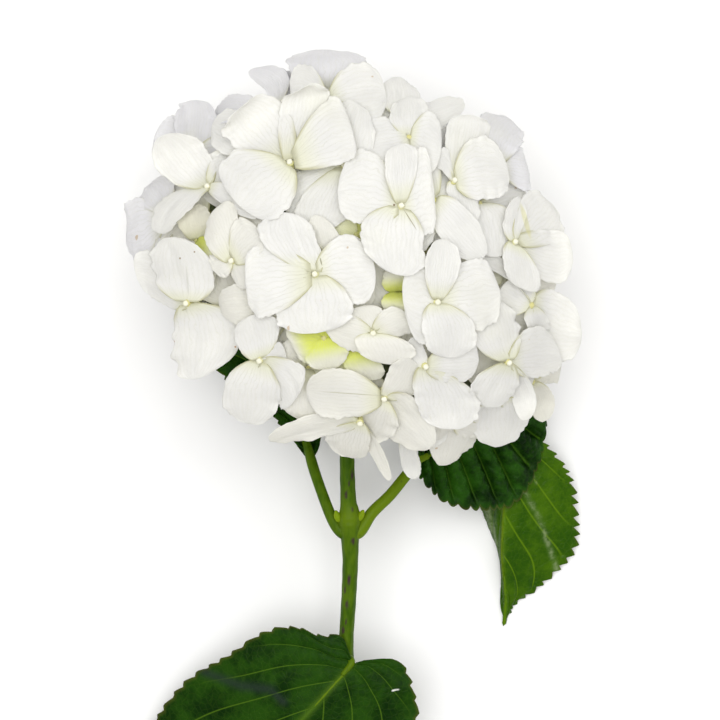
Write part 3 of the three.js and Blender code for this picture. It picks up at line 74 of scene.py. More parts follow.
# node, main branch, fork of its stalk, florets: (name, tone, centre, sepals as tip, left and right shoulder)
FLORETS = [
    ("floret_01", 0, None, [
        ("f01", "w", (-21.9, 33.5, 125.7), [((-40.5, 18.8, 126.2), (-23.9, 15.7, 132.7), (-45.8, 36.5, 117)),
          ((-40.3, 53.2, 119.5), (-44.6, 42.2, 113.1), (-25.1, 55.8, 113.3)),
          ((-17.1, 60.4, 119.2), (-26.2, 52.6, 113.6), (-7.8, 57.6, 113.5)),
          ((0.5, 44.2, 124.7), (-7.4, 57.4, 116.1), (-1.6, 33.9, 129.9))])]),
    ("floret_02", 3, None, [
        ("f03", "w", (17.5, 17.8, 131.5), [((-4.8, 23.5, 132.1), (3.4, 11.3, 135), (5.1, 38.4, 126.4)),
          ((17.6, 40.3, 124.5), (11.5, 32.9, 129), (23.7, 34.9, 125.7)),
          ((29.3, 23.7, 128.1), (24.8, 39.3, 123.4), (27.5, 7.9, 131.6)),
          ((16.1, -6.7, 135.5), (26.4, 1.8, 133.5), (3, 7.7, 136.6))])]),
    ("floret_03", 2, None, [
        ("f04", "w", (-12.9, -6.3, 133.8), [((-37.5, -9.7, 129.1), (-31.1, -21.8, 129.2), (-33.5, 4, 131.1)),
          ((-23.6, 15.4, 131.5), (-32.9, 7.3, 129.9), (-12.6, 7.1, 134.6)),
          ((8.3, -5, 135.5), (-1.9, 7.1, 135.7), (1.6, -17.3, 134.3)),
          ((-12.6, -27.2, 131.7), (0.5, -18.4, 134.8), (-27.2, -21.1, 130.3))])]),
    ("floret_04", 3, None, [
        ("f06", "w", (30.4, -16.1, 128.6), [((32.8, 6.2, 131.3), (26, -2.1, 133.6), (38.5, -3, 129.2)),
          ((53.2, -12.4, 119.1), (44.4, -0.7, 125.3), (46.4, -26.4, 119.7)),
          ((35.2, -36.4, 121.7), (45.2, -27.1, 120.8), (25.4, -27.2, 129.1)),
          ((18.2, -15.5, 132.9), (25.8, -31.4, 126.6), (23.2, -3.1, 133.1))])]),
    ("cluster_06", 5, (38.1, -30.9, 86), [
        ("f23", "w", (56.8, -37.5, 103.7), [((50.3, -15.6, 118.1), (42.8, -27.4, 118.7), (60.9, -24.4, 107.6)),
          ((76.5, -33.8, 84.8), (66.4, -24.4, 100.9), (70.7, -43.8, 83)),
          ((49.4, -53.9, 97.1), (60.3, -48.9, 90.7), (42.8, -46.9, 108.7)),
          ((64.5, -58.9, 86.8), (67.6, -48.9, 84.5), (59.1, -51.9, 84.9))]),
        ("m00", "c", (50.1, -25.5, 105.1), [((70.3, -24.7, 89.2), (61.5, -15.4, 104), (62.7, -34.6, 93.3)),
          ((50.5, -47.2, 94.7), (60.5, -38.5, 92.2), (40.3, -38.4, 108.3)),
          ((29.4, -23.8, 117.5), (36.9, -34, 110.9), (38.4, -15, 117.8)),
          ((52.3, -3.6, 108.9), (42.5, -11.5, 113.2), (60.4, -13.1, 99.3))])]),
    ("floret_05", 0, None, [
        ("f07", "w", (-59.4, -16.2, 111.7), [((-63.8, 7.6, 111.2), (-73.7, -3.3, 102.2), (-50, -5.2, 120.2)),
          ((-56.6, -43.7, 102.4), (-40.9, -26.7, 114.9), (-65.9, -31.3, 99.7)),
          ((-79.4, -4.5, 94.3), (-70, -16.3, 98.5), (-73.8, 2.7, 97.8))])]),
    ("floret_14", 2, None, [
        ("f24", "w", (26.3, -38.9, 121), [((45.9, -37.1, 113.3), (39.5, -28.2, 121.1), (37.6, -45.4, 112.7)),
          ((34.9, -61.8, 105), (46.3, -52.4, 102.4), (23.1, -51.9, 115.8)),
          ((21.2, -28.9, 126.2), (19.8, -36.8, 122.5), (26.2, -33.2, 123.2))])]),
    ("floret_06", 0, None, [
        ("f09", "c", (-42.7, -1.4, 123.5), [((-49.7, 16.6, 119.7), (-52.9, 6.2, 119.4), (-42, 17.9, 123.9)),
          ((-32.9, 8.8, 128.4), (-40.9, 13.2, 124.5), (-32.9, -0.1, 128.9)),
          ((-49.6, -4.5, 120.6), (-44.9, -7.1, 123.1), (-50.3, 0.8, 120.3)),
          ((-37.3, -11.1, 125.1), (-33.7, -5.1, 127.1), (-42.4, -8.2, 123.2))])]),
    ("cluster_11", 2, (5.9, -38.6, 97.6), [
        ("f25", "c", (11.6, -50.4, 116.3), [((-16.4, -48.6, 118.8), (-5.6, -58, 112.7), (-5.9, -39.6, 125.5)),
          ((21.9, -36.8, 123.8), (13.4, -41, 123.7), (24.2, -47.5, 114.5)),
          ((29.2, -68.4, 102.5), (24.6, -52.2, 112.8), (12.8, -64.7, 103.5)),
          ((5.1, -64.6, 98.8), (16.1, -62.7, 107.7), (-0.6, -55.1, 109.1))]),
        ("m05", "c", (16.5, -52.3, 106.1), [((17, -65.9, 89.1), (22.8, -60.3, 97.2), (10.8, -60.4, 101.5)),
          ((-3.4, -52.1, 110.4), (4.5, -62.6, 98.4), (4.7, -41.9, 117.2))])]),
    ("floret_07", 0, None, [
        ("f11", "w", (-51.7, 25.6, 114), [((-68.1, 44.5, 110.1), (-69.7, 31.2, 103.2), (-52.8, 39.7, 108.1)),
          ((-70.8, 9.4, 102.6), (-59, 16.9, 113.1), (-70.3, 21.2, 99.4)),
          ((-33.3, 14.1, 126.8), (-41, 24.4, 121.2), (-44.9, 18, 120.5)),
          ((-41.7, 32.4, 113.2), (-49.2, 37.2, 107.4), (-40.8, 24.3, 116.9))])]),
    ("floret_15", 2, None, [
        ("f26", "c", (7.6, -27.1, 127.8), [((2.3, -18, 131.3), (-2.3, -22.6, 130.2), (11.2, -19.4, 130.4)),
          ((21.1, -21.8, 127.8), (12.9, -18.3, 130.1), (20.5, -27.8, 126.2)),
          ((13.7, -38.5, 124.6), (22.2, -32.8, 125.7), (1.6, -32.1, 128.4)),
          ((-10.8, -23.3, 130.1), (0.2, -34.3, 126.9), (-3.7, -19.4, 131.6))])]),
    ("cluster_05", 2, (-11.4, -32.5, 99.7), [
        ("f08", "w", (-32.9, -36.8, 118), [((-36.3, -21, 123.5), (-41.8, -29.6, 118.1), (-26.2, -24.6, 126)),
          ((-37.8, -60, 101.5), (-26.2, -52.6, 113.5), (-47, -47.6, 106.1)),
          ((-20.7, -51.5, 114.9), (-17.7, -39.6, 123.3), (-27.7, -52.3, 111.9)),
          ((-25.2, -30.7, 123.5), (-28.8, -33.5, 121.2), (-24.2, -37.8, 120.7))]),
        ("f41", "c", (-15.6, -38.9, 113.7), [((-17.6, -58.8, 105.9), (-10.3, -55.5, 109.9), (-24.8, -51.9, 111)),
          ((-23.5, -30, 120.7), (-25.7, -37.8, 118.1), (-18.1, -28.5, 123.9)),
          ((5.9, -46.8, 107.6), (1.1, -33.3, 113.5), (-6.5, -54, 108.6)),
          ((-2.3, -19.5, 121.7), (-16.7, -21, 118.7), (1.5, -33.5, 118.6))])]),
    ("cluster_09", 3, (33.4, -2.8, 98.1), [
        ("f21", "w", (58.5, 5.8, 112.8), [((73.8, 20.1, 92.5), (63.7, 24, 102.8), (76.4, 8, 91.5)),
          ((80.6, 2.4, 95), (73.5, 10.8, 96.4), (74.7, -8.9, 95)),
          ((61.8, -11.1, 111.1), (68.7, -8.1, 104.6), (55, -1.6, 117.6)),
          ((60.2, 22.6, 107.7), (54.4, 13.6, 115.2), (63.1, 16.1, 107.3))]),
        ("m03", "c", (55.7, -5.5, 107.4), [((76.1, -5.1, 82.9), (67.7, 2.3, 96.3), (67.6, -13.1, 95.4)),
          ((57.7, -25.8, 99.4), (67.2, -16.7, 95.1), (46.6, -18.6, 111.4)),
          ((33.4, -3.7, 119.6), (41.3, -13.8, 116.4), (43.1, 4.9, 115.9)),
          ((54.4, 14, 107.2), (44.8, 5.3, 114.2), (65.1, 7.2, 99.2))])]),
    ("floret_11", 3, None, [
        ("f19", "w", (36.6, 27.3, 120.6), [((56.9, 31.6, 108.3), (45.7, 43.9, 109.3), (49.3, 20.6, 118.5)),
          ((43.2, 51.9, 107.6), (34.4, 46.9, 112), (50.2, 45.3, 104.1)),
          ((30.6, 35.6, 119.7), (32.7, 30.1, 121.3), (34.3, 39.1, 116.4)),
          ((41.6, 11.5, 121.8), (45.7, 18.5, 118.8), (34.8, 21.1, 122.2))])]),
    ("cluster_03", 2, (4.3, -42.8, 94), [
        ("f30", "c", (3, -59.2, 109.4), [((-30.4, -65.8, 105), (-11.5, -65.1, 102.4), (-14.3, -56.6, 111.4)),
          ((-1.4, -72.8, 90.1), (6.7, -68.2, 98.3), (-9.7, -65.5, 100.8)),
          ((14, -81, 93.4), (11.4, -69.7, 97.6), (7.4, -72, 94.2))]),
        ("f31", "w", (18.3, -62.3, 97), [((22.7, -80.9, 78.7), (25.6, -75.4, 78.2), (18.2, -74.5, 81.2)),
          ((35.5, -58.2, 90.5), (26.6, -51.3, 93.3), (30.6, -68.4, 89.1)),
          ((12.5, -63.6, 97.9), (15.5, -65.9, 91), (14.1, -60.2, 93.5))])]),
    ("floret_18", 5, None, [
        ("f33", "w", (55.6, -50.7, 89.8), [((55.8, -69, 67.2), (67.1, -57, 68.2), (44.7, -60.4, 86.8)),
          ((66.9, -45.4, 75.2), (66.7, -39.5, 80.7), (59, -54.2, 80.9))])]),
    ("floret_20", 3, None, [
        ("f35", "w", (29.4, 20.3, 123.7), [((47.4, -0.3, 120.9), (42.7, 15.8, 122.7), (34, 3.8, 127.2)),
          ((43.8, 32.9, 110.3), (30.8, 36.2, 116.5), (45.3, 19.5, 115.4)),
          ((14.2, 37.8, 118.5), (12, 23.5, 122.6), (28.6, 38.1, 118.1)),
          ((11.4, 4.6, 126.7), (25.9, 2.6, 125.7), (11.4, 19.2, 126.1))])]),
    ("floret_10", 3, None, [
        ("f18", "w", (20.6, 43.3, 115.8), [((5.1, 39.6, 122), (14.8, 33.5, 125.4), (9.1, 50.5, 115.4)),
          ((32, 37.8, 119.3), (29.7, 52.5, 110.6), (25.8, 30.3, 124.8)),
          ((20.8, 58.7, 105.4), (13.4, 51.9, 113.1), (27.6, 53, 108.2)),
          ((18.1, 20.2, 121), (30.1, 28.3, 118.4), (8.1, 30.6, 116.5))])]),
    ("floret_13", 5, None, [
        ("f22", "w", (65.5, -16.8, 102.9), [((84.9, -26.8, 85.2), (76.5, -11.8, 89.9), (76.2, -37.1, 82.5)),
          ((54.5, -10.5, 113.2), (54.2, -20.1, 111.2), (64.7, -6.6, 105.2)),
          ((46.1, -1.2, 117.5), (56.1, -7.5, 111.2), (53.4, 0.3, 113.4)),
          ((69.3, -28, 93), (72.4, -22.8, 91.5), (63.4, -24.4, 102.4))])]),
    ("cluster_02", 1, (-0.1, 32.2, 82.3), [
        ("f16", "w", (-8.6, 55.8, 109.7), [((-22.5, 64.3, 99.6), (-18.7, 57, 108.4), (-16, 72.4, 94.4)),
          ((12.4, 61.1, 106.1), (1.5, 71.6, 98.5), (5.9, 48.7, 116.4)),
          ((-25.7, 39.4, 115.1), (-11.2, 37.9, 113.1), (-26.5, 53.9, 111.3)),
          ((2.2, 36.3, 118.8), (7.6, 49.5, 115.1), (-11.7, 38.7, 115.1))]),
        ("f15", "g", (-8.7, 60.3, 91.2), [((-9.6, 78.3, 74.9), (-24.1, 72.4, 87.3), (5.6, 72.5, 88.7)),
          ((-30.7, 59.1, 89.2), (-21.3, 48.5, 92.1), (-22.4, 70.6, 81.7)),
          ((-7.6, 39.2, 112.3), (3, 48.2, 100.9), (-19, 47.1, 98.7)),
          ((10.6, 61.3, 93.9), (2.4, 70, 95.9), (3.4, 51.7, 95.9))])]),
    ("cluster_04", 3, (6.6, 3.1, 105.6), [
        ("f02", "w", (-2.7, 32.6, 123), [((3, 55.1, 113.7), (-5.6, 52.4, 115.6), (8, 41.1, 123.2)),
          ((-11.9, 9.8, 129.5), (-0.6, 16.5, 129.4), (-19.8, 18.4, 126.8)),
          ((15.5, 24.7, 120.6), (10.2, 33.8, 117.8), (8.3, 15.6, 124.3)),
          ((-24.1, 19.3, 124.1), (-18.4, 16.3, 126), (-19.2, 30.5, 121.9))]),
        ("f38", "c", (-6.6, 0.2, 129.8), [((-10.8, 14.3, 131.1), (-15.1, 9.7, 131.2), (-3.7, 5.4, 132.6)),
          ((5.1, 3.6, 132.9), (-2, 7.2, 132.8), (3.7, -2.1, 133)),
          ((-28.4, -6.3, 123), (-16.5, -14.3, 125.8), (-22.8, 6.9, 125.8)),
          ((0, -22.1, 124.2), (7.9, -10, 127.1), (-13.2, -16.3, 126.8))]),
        ("f39", "y", (1.6, 7.4, 127.5), [((-9.8, 16.6, 126.8), (-7.7, 9.8, 128.2), (-2, 17.7, 126.9)),
          ((-6.3, -2.4, 123.9), (1.5, -2.2, 125.3), (-7.8, 5.3, 125.3)),
          ((11.2, -0.4, 123.5), (11.1, 7.3, 125.1), (3.6, -2, 125.1)),
          ((9.1, 16.6, 122), (1.4, 16.7, 124.1), (10.7, 9.2, 124.3))])]),
    ("cluster_10", 2, (-7.9, -26.5, 102.3), [
        ("f27", "y", (-9.8, -28.9, 124.5), [((-21.6, -31, 123.7), (-15.2, -38.5, 121.7), (-21.6, -25.7, 125.6)),
          ((-7.7, -40.3, 122.3), (-1.3, -33.2, 125.9), (-16.6, -36.4, 123)),
          ((-4.1, -24.6, 127), (-12, -22.9, 126.8), (-1.6, -29.6, 125.4)),
          ((-15, -17, 123.7), (-18.4, -24.2, 124), (-7.4, -19.4, 124.2))]),
        ("m04", "c", (-23.3, -19.7, 118.6), [((-13.9, -38.6, 115.5), (-9.3, -26.9, 122.4), (-26.1, -35.2, 113.6)),
          ((-43, -26.7, 107.3), (-31.9, -32.4, 113.3), (-38.1, -15.4, 111.5)),
          ((-33.2, -1.9, 121), (-36.9, -13.2, 113.9), (-21.5, -4.9, 123.2)),
          ((-4.7, -9.4, 124.9), (-16.9, -5, 124.1), (-7.3, -22.1, 122.1))])]),
    ("floret_17", 5, None, [
        ("f32", "c", (37.8, -58.7, 95.5), [((34.7, -75.9, 72.6), (47.8, -65.1, 73), (29.8, -65.4, 94.2)),
          ((53.5, -59, 76.2), (50.8, -49.8, 86.6), (43.3, -66, 81.6))])]),
    ("floret_21", 3, None, [
        ("f36", "w", (46.1, 19.7, 113.4), [((52.2, 0.2, 116.6), (59.3, 13.1, 109.7), (41.6, 11.9, 120.3)),
          ((63.2, 25, 97.7), (53.2, 32.9, 99.6), (59.5, 12.8, 107.9)),
          ((39.6, 40.8, 104.8), (31.7, 29, 109.9), (52.7, 35.6, 100.3)),
          ((24.1, 12.8, 122), (36.2, 5, 119.4), (29.6, 26.1, 116.8))])]),
    ("cluster_01", 0, (-27.4, 18, 91.9), [
        ("f14", "g", (-29, 53, 97.4), [((-37.6, 70.7, 84), (-24.3, 69.5, 88.1), (-32.2, 63.1, 92)),
          ((-50.8, 54.7, 84.2), (-45.2, 48.7, 101.2), (-42, 61, 90.8)),
          ((-26.8, 31.4, 113.3), (-16.7, 41.2, 104), (-38.7, 39, 102.7)),
          ((-6.2, 59.5, 93), (-18.3, 67.6, 86.2), (-12.3, 46.3, 102.2))]),
        ("f13", "w", (-37.4, 39, 112.3), [((-50.7, 49.5, 97), (-48.4, 38.9, 108), (-42.2, 54.4, 99.9)),
          ((-52, 20.4, 108.6), (-37.5, 21, 109), (-54.8, 34.7, 105.6)),
          ((-19.6, 25, 120.9), (-19.9, 39.3, 112.6), (-33.6, 21.9, 117.1)),
          ((-25.3, 54.4, 99), (-38, 54.4, 94.3), (-22.2, 42, 107.3))])]),
    ("floret_19", 5, None, [
        ("f34", "c", (67.4, -44.9, 73.7), [((73.1, -59.7, 59.5), (75.8, -50.3, 59.5), (66.7, -54.1, 59.5)),
          ((78.4, -41.3, 58.9), (76.3, -33, 70.1), (74.3, -45.8, 58.9)),
          ((62, -29.6, 92.4), (53.7, -39.4, 85.4), (74.6, -32.1, 83.6)),
          ((49, -51.7, 83.9), (56.9, -56.2, 79.2), (52.5, -38.7, 82.9))])]),
    ("floret_16", 2, None, [
        ("f29", "y", (0.9, -33.2, 122.1), [((8.4, -44.3, 118.2), (10.5, -37.5, 121.7), (-2.7, -39.3, 121.3)),
          ((11.5, -26, 120.6), (3.9, -23.9, 120.6), (10.6, -33.8, 117.9)),
          ((-6.4, -22.4, 122.4), (-8.5, -30.1, 119.9), (1.4, -23.4, 123.2)),
          ((-8.4, -39.5, 117.5), (-1.4, -41.9, 119.2), (-8.1, -32, 119.9))])]),
    ("floret_09", 1, None, [
        ("f17", "w", (19.3, 50.7, 109.8), [((16.9, 67.1, 95.6), (10.2, 58.5, 106.9), (24.8, 59.6, 101.6)),
          ((41.1, 57.4, 93.8), (30.7, 58.8, 98.9), (32.7, 47.5, 108.4)),
          ((5.9, 53.6, 110.1), (11.6, 43.7, 116.2), (11.4, 61.5, 102)),
          ((20.2, 28.1, 116.2), (30.9, 37.6, 114), (8.8, 36.6, 113.2))])]),
    ("floret_22", 0, None, [
        ("f37", "g", (-67.1, 16.5, 90.2), [((-84, 10.1, 75.7), (-78.1, 0.1, 87.2), (-82.1, 22.7, 78.1)),
          ((-75.3, 28.2, 77.6), (-79.1, 21.9, 79.8), (-67.1, 29.7, 93.7)),
          ((-57.2, -4, 107.2), (-51.2, 9, 103.6), (-71.1, -0.6, 96.1))])]),
    ("cluster_07", 0, (-27.8, -9.5, 95.5), [
        ("f05", "c", (-28.5, -14.6, 115.2), [((-48, -16.6, 115.6), (-39.3, -24.6, 119.8), (-40.6, -9.6, 122.7)),
          ((-4.6, -12.1, 122.5), (-15.3, -2.1, 119.1), (-13, -24.1, 116))]),
        ("m01", "c", (-39.9, -15.8, 110.2), [((-29.6, -30.7, 115.9), (-25.9, -19.5, 121.7), (-41.6, -30, 112.4)),
          ((-53.6, 0.5, 106.8), (-55.9, -12.2, 107.6), (-40.3, 0.1, 115)),
          ((-22.6, -3.6, 121.7), (-34.7, -1.3, 117.1), (-24.3, -15.6, 116.9))])]),
    ("cluster_12", 0, (-37.1, 1.9, 92), [
        ("f10", "y", (-56.3, 6.6, 105.3), [((-58.6, 19.8, 106.3), (-62.7, 13.3, 105.2), (-51, 15.8, 113.5)),
          ((-49.8, -8.7, 116.5), (-49.8, 3.5, 117), (-54.6, -1.8, 113.9)),
          ((-32, 15.4, 122.2), (-40, 17.7, 119.5), (-30.5, 7.5, 124.8)),
          ((-66, 3.7, 104.7), (-60.4, -0.8, 93), (-63.8, 10.6, 95.3))]),
        ("m06", "c", (-53.4, 13.8, 104.7), [((-36.2, -1, 121.4), (-36.3, 12.5, 117.6), (-49.8, -2.8, 112.1)),
          ((-66.3, -1.7, 103.2), (-53.7, -1.3, 108.9), (-68.7, 10.4, 97.3)),
          ((-71, 29.6, 84.5), (-70.9, 15.7, 86.3), (-56.7, 30.5, 101.4))])]),
    ("floret_08", 0, None, [
        ("f12", "g", (-58.4, 37.1, 95.4), [((-58.1, 59.9, 80.4), (-66.1, 51.6, 77.5), (-49.4, 50.8, 94.4)),
          ((-73.3, 47, 74.2), (-71.6, 35.2, 79.1), (-65.2, 53.8, 73.8)),
          ((-65.4, 20.4, 89.9), (-54.9, 23.9, 92.6), (-70.4, 30.3, 84.3)),
          ((-38.4, 33, 108.1), (-44.2, 45.4, 103.2), (-48.7, 23.8, 103.1))])]),
    ("floret_12", 3, None, [
        ("f20", "g", (51.7, 34.8, 99.6), [((59.3, 51.8, 78.5), (46.9, 51.8, 100.9), (62.2, 42.4, 91.4)),
          ((64.2, 33.7, 91.3), (61.5, 41.6, 90.4), (63.9, 24.9, 101.8)),
          ((29.2, 42.1, 109), (34.8, 28.7, 104), (41.6, 49.7, 101)),
          ((47.1, 12.4, 112.7), (59.7, 19.2, 98.8), (38.1, 23.6, 106.4))])]),
    ("cluster_08", 3, (15.7, -10.1, 102.5), [
        ("f28", "y", (16.2, -12.5, 120.4), [((15.8, -3.6, 126.5), (10.8, -8.6, 127.1), (22.3, -7.9, 125.6)),
          ((16.6, -22.8, 123.4), (21.9, -17.5, 126.3), (10.8, -16.4, 127.2)),
          ((27.8, -12, 118.7), (22.9, -6.2, 118.3), (23.4, -18.2, 117)),
          ((3.4, -13, 123.4), (8.8, -18.8, 118.8), (8.3, -6.8, 120.6))]),
        ("m02", "c", (19.4, -19.7, 119.7), [((31.7, -35.1, 114.3), (34.4, -22.9, 118.4), (19.2, -34.9, 118)),
          ((5.3, -34.6, 120.8), (18.3, -35.5, 118.4), (3.7, -21.7, 124.6)),
          ((6.4, -2.8, 127.1), (4.5, -15, 123.7), (18.7, -4.1, 122.1)),
          ((35.3, -5.8, 117.8), (23, -4.7, 123.2), (34.9, -18, 116.2))])]),
    ("cymule_07", 4, (-16.9, -9.1, 28.3), [
        ("h01", "w", (-46.9, -9.6, 21.4), [((-58.1, -15.2, 37.7), (-61, -3.6, 29.8), (-51.2, -23.2, 31.1)),
          ((-51.9, 15.2, 19.2), (-42.5, 7, 11.1), (-59.9, 4, 25.9)),
          ((-28.7, -4.6, 6.2), (-34.9, -17.8, 10.7), (-41.4, 4, 9.4)),
          ((-37.2, -32.1, 22.9), (-48.9, -25.7, 27.7), (-35.4, -21.9, 13.1))]),
        ("h03", "w", (-14.9, 14.9, 2.4), [((-35.7, 25.4, 5.1), (-21.7, 31.6, 4.3), (-34.2, 10.9, 2.3)),
          ((-2.5, 35.2, 3), (3.4, 21.3, 0.8), (-17.7, 32.5, 5.1)),
          ((6.7, 5.3, 0.8), (-7, -1.7, 0.8), (2.9, 20.2, 1.4)),
          ((-25.6, -5, 1.1), (-33.1, 9.3, 0.8), (-9.9, -3.1, 0.8))]),
        ("h32", "w", (-27.4, -11.7, 7.6), [((-24.7, -32.3, 16.6), (-36.2, -24.3, 15.3), (-16.2, -25.3, 8.9)),
          ((-45, -8.5, 19.7), (-39.3, 1.2, 11.8), (-38, -20.5, 18.2)),
          ((-26.7, 13.3, 3), (-16.8, 2, 3.1), (-36.2, 4.8, 9.1)),
          ((-3.5, -12.1, 3.3), (-12.9, -22.6, 7.1), (-12.9, -0.8, 4.3))])]),
    ("cymule_09", 4, (-23.7, -19.2, 45.4), [
        ("h00", "w", (-55, -17.5, 64), [((-53.3, -25.1, 90), (-61.8, -12.3, 83.6), (-53.5, -34.3, 76.7)),
          ((-71.9, 6.2, 68.7), (-69.2, -3, 55.1), (-65.8, -6.2, 78.4)),
          ((-57.2, -12.6, 40.6), (-57.6, -26.4, 46.7), (-66.7, -5.2, 50.7)),
          ((-32.2, -29.4, 60.3), (-43.8, -29.7, 73.4), (-48.9, -29, 49.8))]),
        ("h18", "w", (-32.7, -36.2, 40.1), [((-29.6, -39.5, 64.2), (-36.3, -30.8, 55.8), (-22.7, -43.7, 54.2)),
          ((-54, -27, 40.8), (-44.7, -29.4, 30.3), (-43, -30.7, 49.5)),
          ((-30.3, -33, 20.4), (-24, -41.4, 29.3), (-41.2, -29.8, 28.2)),
          ((-15.3, -49.8, 41), (-24.6, -48.9, 51.2), (-21.3, -41.8, 31.1))]),
        ("h31", "w", (-47.5, -20.2, 41.4), [((-34.2, -29.1, 54.9), (-51, -27, 57.5), (-34.5, -29.7, 42.8)),
          ((-57.2, -2.7, 29.1), (-47.8, -14.7, 27.1), (-62.6, -6.9, 42.2)),
          ((-37.8, -29.5, 24.8), (-37.5, -31.5, 36.7), (-46, -18.1, 25.8))])]),
    ("cymule_10", 4, (12.9, -13.4, 28.1), [
        ("h07", "w", (30.3, 6.8, 3.5), [((39.4, 27.5, 10.9), (44.5, 14.4, 10.4), (27.2, 24.8, 5.2)),
          ((50.5, -6.5, 11.7), (38.7, -11.1, 4.2), (47.7, 8.2, 11.2)),
          ((18.9, -14.4, 0.8), (13.3, 0.1, 0.8), (33.9, -12.2, 2.4)),
          ((7.6, 20.6, 0.8), (22.3, 24.8, 2.7), (10.9, 5.6, 0.8))]),
        ("h14", "w", (27.7, -32.2, 7.6), [((48.4, -20, 11.1), (45.1, -34.8, 15), (35.6, -14.9, 4)),
          ((34.9, -47.3, 23), (21.5, -46.5, 16.7), (42, -35.1, 18.4)),
          ((6.1, -40.3, 9.3), (10.1, -26.9, 2.5), (18.7, -46.3, 15.9)),
          ((17.9, -11.1, 2.2), (32, -14.7, 4.2), (12.2, -24.9, 0.8))]),
        ("h19", "w", (51.5, -9.9, 19), [((63.1, -7.6, 35.9), (59.8, -20.3, 30.8), (58.2, 2.7, 27.6)),
          ((47.4, -33.9, 21.3), (40.8, -23.7, 11.8), (58.4, -25.3, 27.5)),
          ((31.4, -6, 4), (42.2, 4.6, 9.5), (36.9, -20.6, 9.7)),
          ((51.4, 12.1, 16.8), (60.6, 3.6, 24), (42.9, 3.6, 10.1))])]),
    ("cymule_11", 1, (14, 28.8, 55.8), [
        ("h02", "w", (11.8, 61.6, 52.3), [((-15.1, 69.2, 51.7), (-3.9, 71, 63.2), (-4.7, 65.3, 40)),
          ((13.4, 63.1, 76.3), (23.6, 60.4, 66.2), (2, 68.3, 67.3)),
          ((37.4, 53.7, 53), (27.1, 55.4, 42.1), (28, 58.9, 63.3)),
          ((10.2, 55.6, 29.7), (0.5, 63.1, 37.6), (21.2, 55, 38.4))]),
        ("h17", "w", (18, 41.1, 22.2), [((16.3, 55.9, 40.3), (28.8, 49.9, 35), (6.1, 53.2, 30)),
          ((40.8, 38, 30), (33.6, 31.2, 18.6), (30.5, 48, 33.8)),
          ((17.9, 22.2, 6.1), (6.9, 32.8, 9), (29.7, 27.6, 14.6)),
          ((-5.7, 45, 14.8), (3.2, 52.5, 25.1), (4.3, 34.2, 10.4))]),
        ("h30", "w", (38.7, 48.6, 49.7), [((21.2, 55.2, 61.3), (33.4, 51.4, 65.2), (23.1, 54.9, 48.6)),
          ((46.6, 43.5, 71.3), (52.2, 40.1, 58.1), (35.7, 51, 67.3)),
          ((50.5, 32.1, 38.3), (40.5, 41.1, 33.5), (53.1, 37.4, 51.5)),
          ((23.2, 47.5, 32.4), (23.2, 54.6, 44), (36, 42.1, 33.5))])]),
    ("cymule_13", 1, (-8.4, 32.8, 65.4), [
        ("h04", "w", (-40, 53.3, 54.9), [((-52.3, 52.2, 77), (-37.3, 58.4, 72.7), (-59.4, 46.7, 63.2)),
          ((-25.1, 66.6, 65.2), (-26.2, 65.3, 50.5), (-35.9, 58.4, 70.8)),
          ((-27.5, 52.2, 34), (-42.5, 47.6, 36.4), (-25.6, 62.7, 45.9)),
          ((-59.8, 39.3, 44.3), (-60.3, 46.9, 59.5), (-46.3, 46, 36.8))]),
        ("h21", "w", (-13.9, 64.2, 56.5), [((-20.4, 71.6, 81.1), (-8.7, 74.4, 73.9), (-27.6, 67.9, 69.4)),
          ((7.7, 63.1, 62.9), (1.8, 64.2, 50.3), (-3.4, 70.5, 70.5)),
          ((-5.2, 62.3, 32.5), (-18.9, 64.4, 38.4), (0.6, 63.8, 46.6)),
          ((-33.1, 55.3, 49.8), (-29.5, 61.9, 60.9), (-23.7, 60.8, 43))]),
        ("h33", "w", (-26.9, 60.7, 77), [((-21.1, 46.5, 97), (-11.4, 52.7, 87.8), (-31.8, 43.9, 87.9)),
          ((-1.7, 66.9, 77.5), (-12.3, 69.4, 66.2), (-11.5, 63.2, 88.6)),
          ((-25, 60, 50.2), (-35, 54.9, 60.7), (-15.2, 64.3, 61.4)),
          ((-50.4, 51.9, 74.3), (-41.1, 53.7, 85.1), (-38.9, 54, 65.2))])]),
    ("cymule_01", 5, (43.8, -27.5, 62.8), [
        ("h05", "w", (67.9, -10.5, 45.7), [((71.9, 7.2, 60.1), (74.3, -7.3, 61.9), (68.4, 7.8, 46.3)),
          ((72.7, -23.1, 64.1), (71.6, -27.5, 50.9), (73.1, -9.8, 62)),
          ((60.4, -31.2, 32.4), (61.5, -16.6, 28.4), (68.7, -30.4, 45.7)),
          ((60.7, 5.1, 28.3), (67.8, 7.8, 41.4), (61, -10.1, 28.1))]),
        ("h24", "w", (70.6, -21.7, 65.8), [((69.1, -12.4, 86.4), (68.1, -27.6, 83.9), (72.6, -5.8, 73.7)),
          ((61.9, -43.3, 74.6), (66.6, -39.7, 60.1), (66.8, -30.4, 82.2)),
          ((66.2, -29, 44.8), (69.5, -15, 50), (66.1, -38.6, 56.5)),
          ((70.8, -3.3, 56.9), (72.3, -5.1, 70.4), (67.3, -15, 50.3))]),
        ("h34", "w", (60, -39.8, 47.4), [((68.1, -31.2, 65.8), (61.3, -43.8, 64), (66.7, -24.3, 53.3)),
          ((48, -55.1, 58.9), (45.6, -51.6, 44.3), (59.6, -46.5, 64.8)),
          ((43.6, -43.4, 28.5), (55.2, -32.5, 29.5), (45.3, -51.5, 42)),
          ((65.6, -17.9, 40.8), (67, -24.4, 53.3), (59, -28.3, 33))])]),
    ("cymule_06", 1, (29.2, 17.4, 60.9), [
        ("h06", "w", (51.9, 30.4, 35.3), [((52, 45.1, 53.7), (60.3, 32.5, 51.5), (43.9, 46.5, 41)),
          ((66.8, 18.5, 51.7), (63, 14.3, 37.4), (59.2, 31.7, 53.1)),
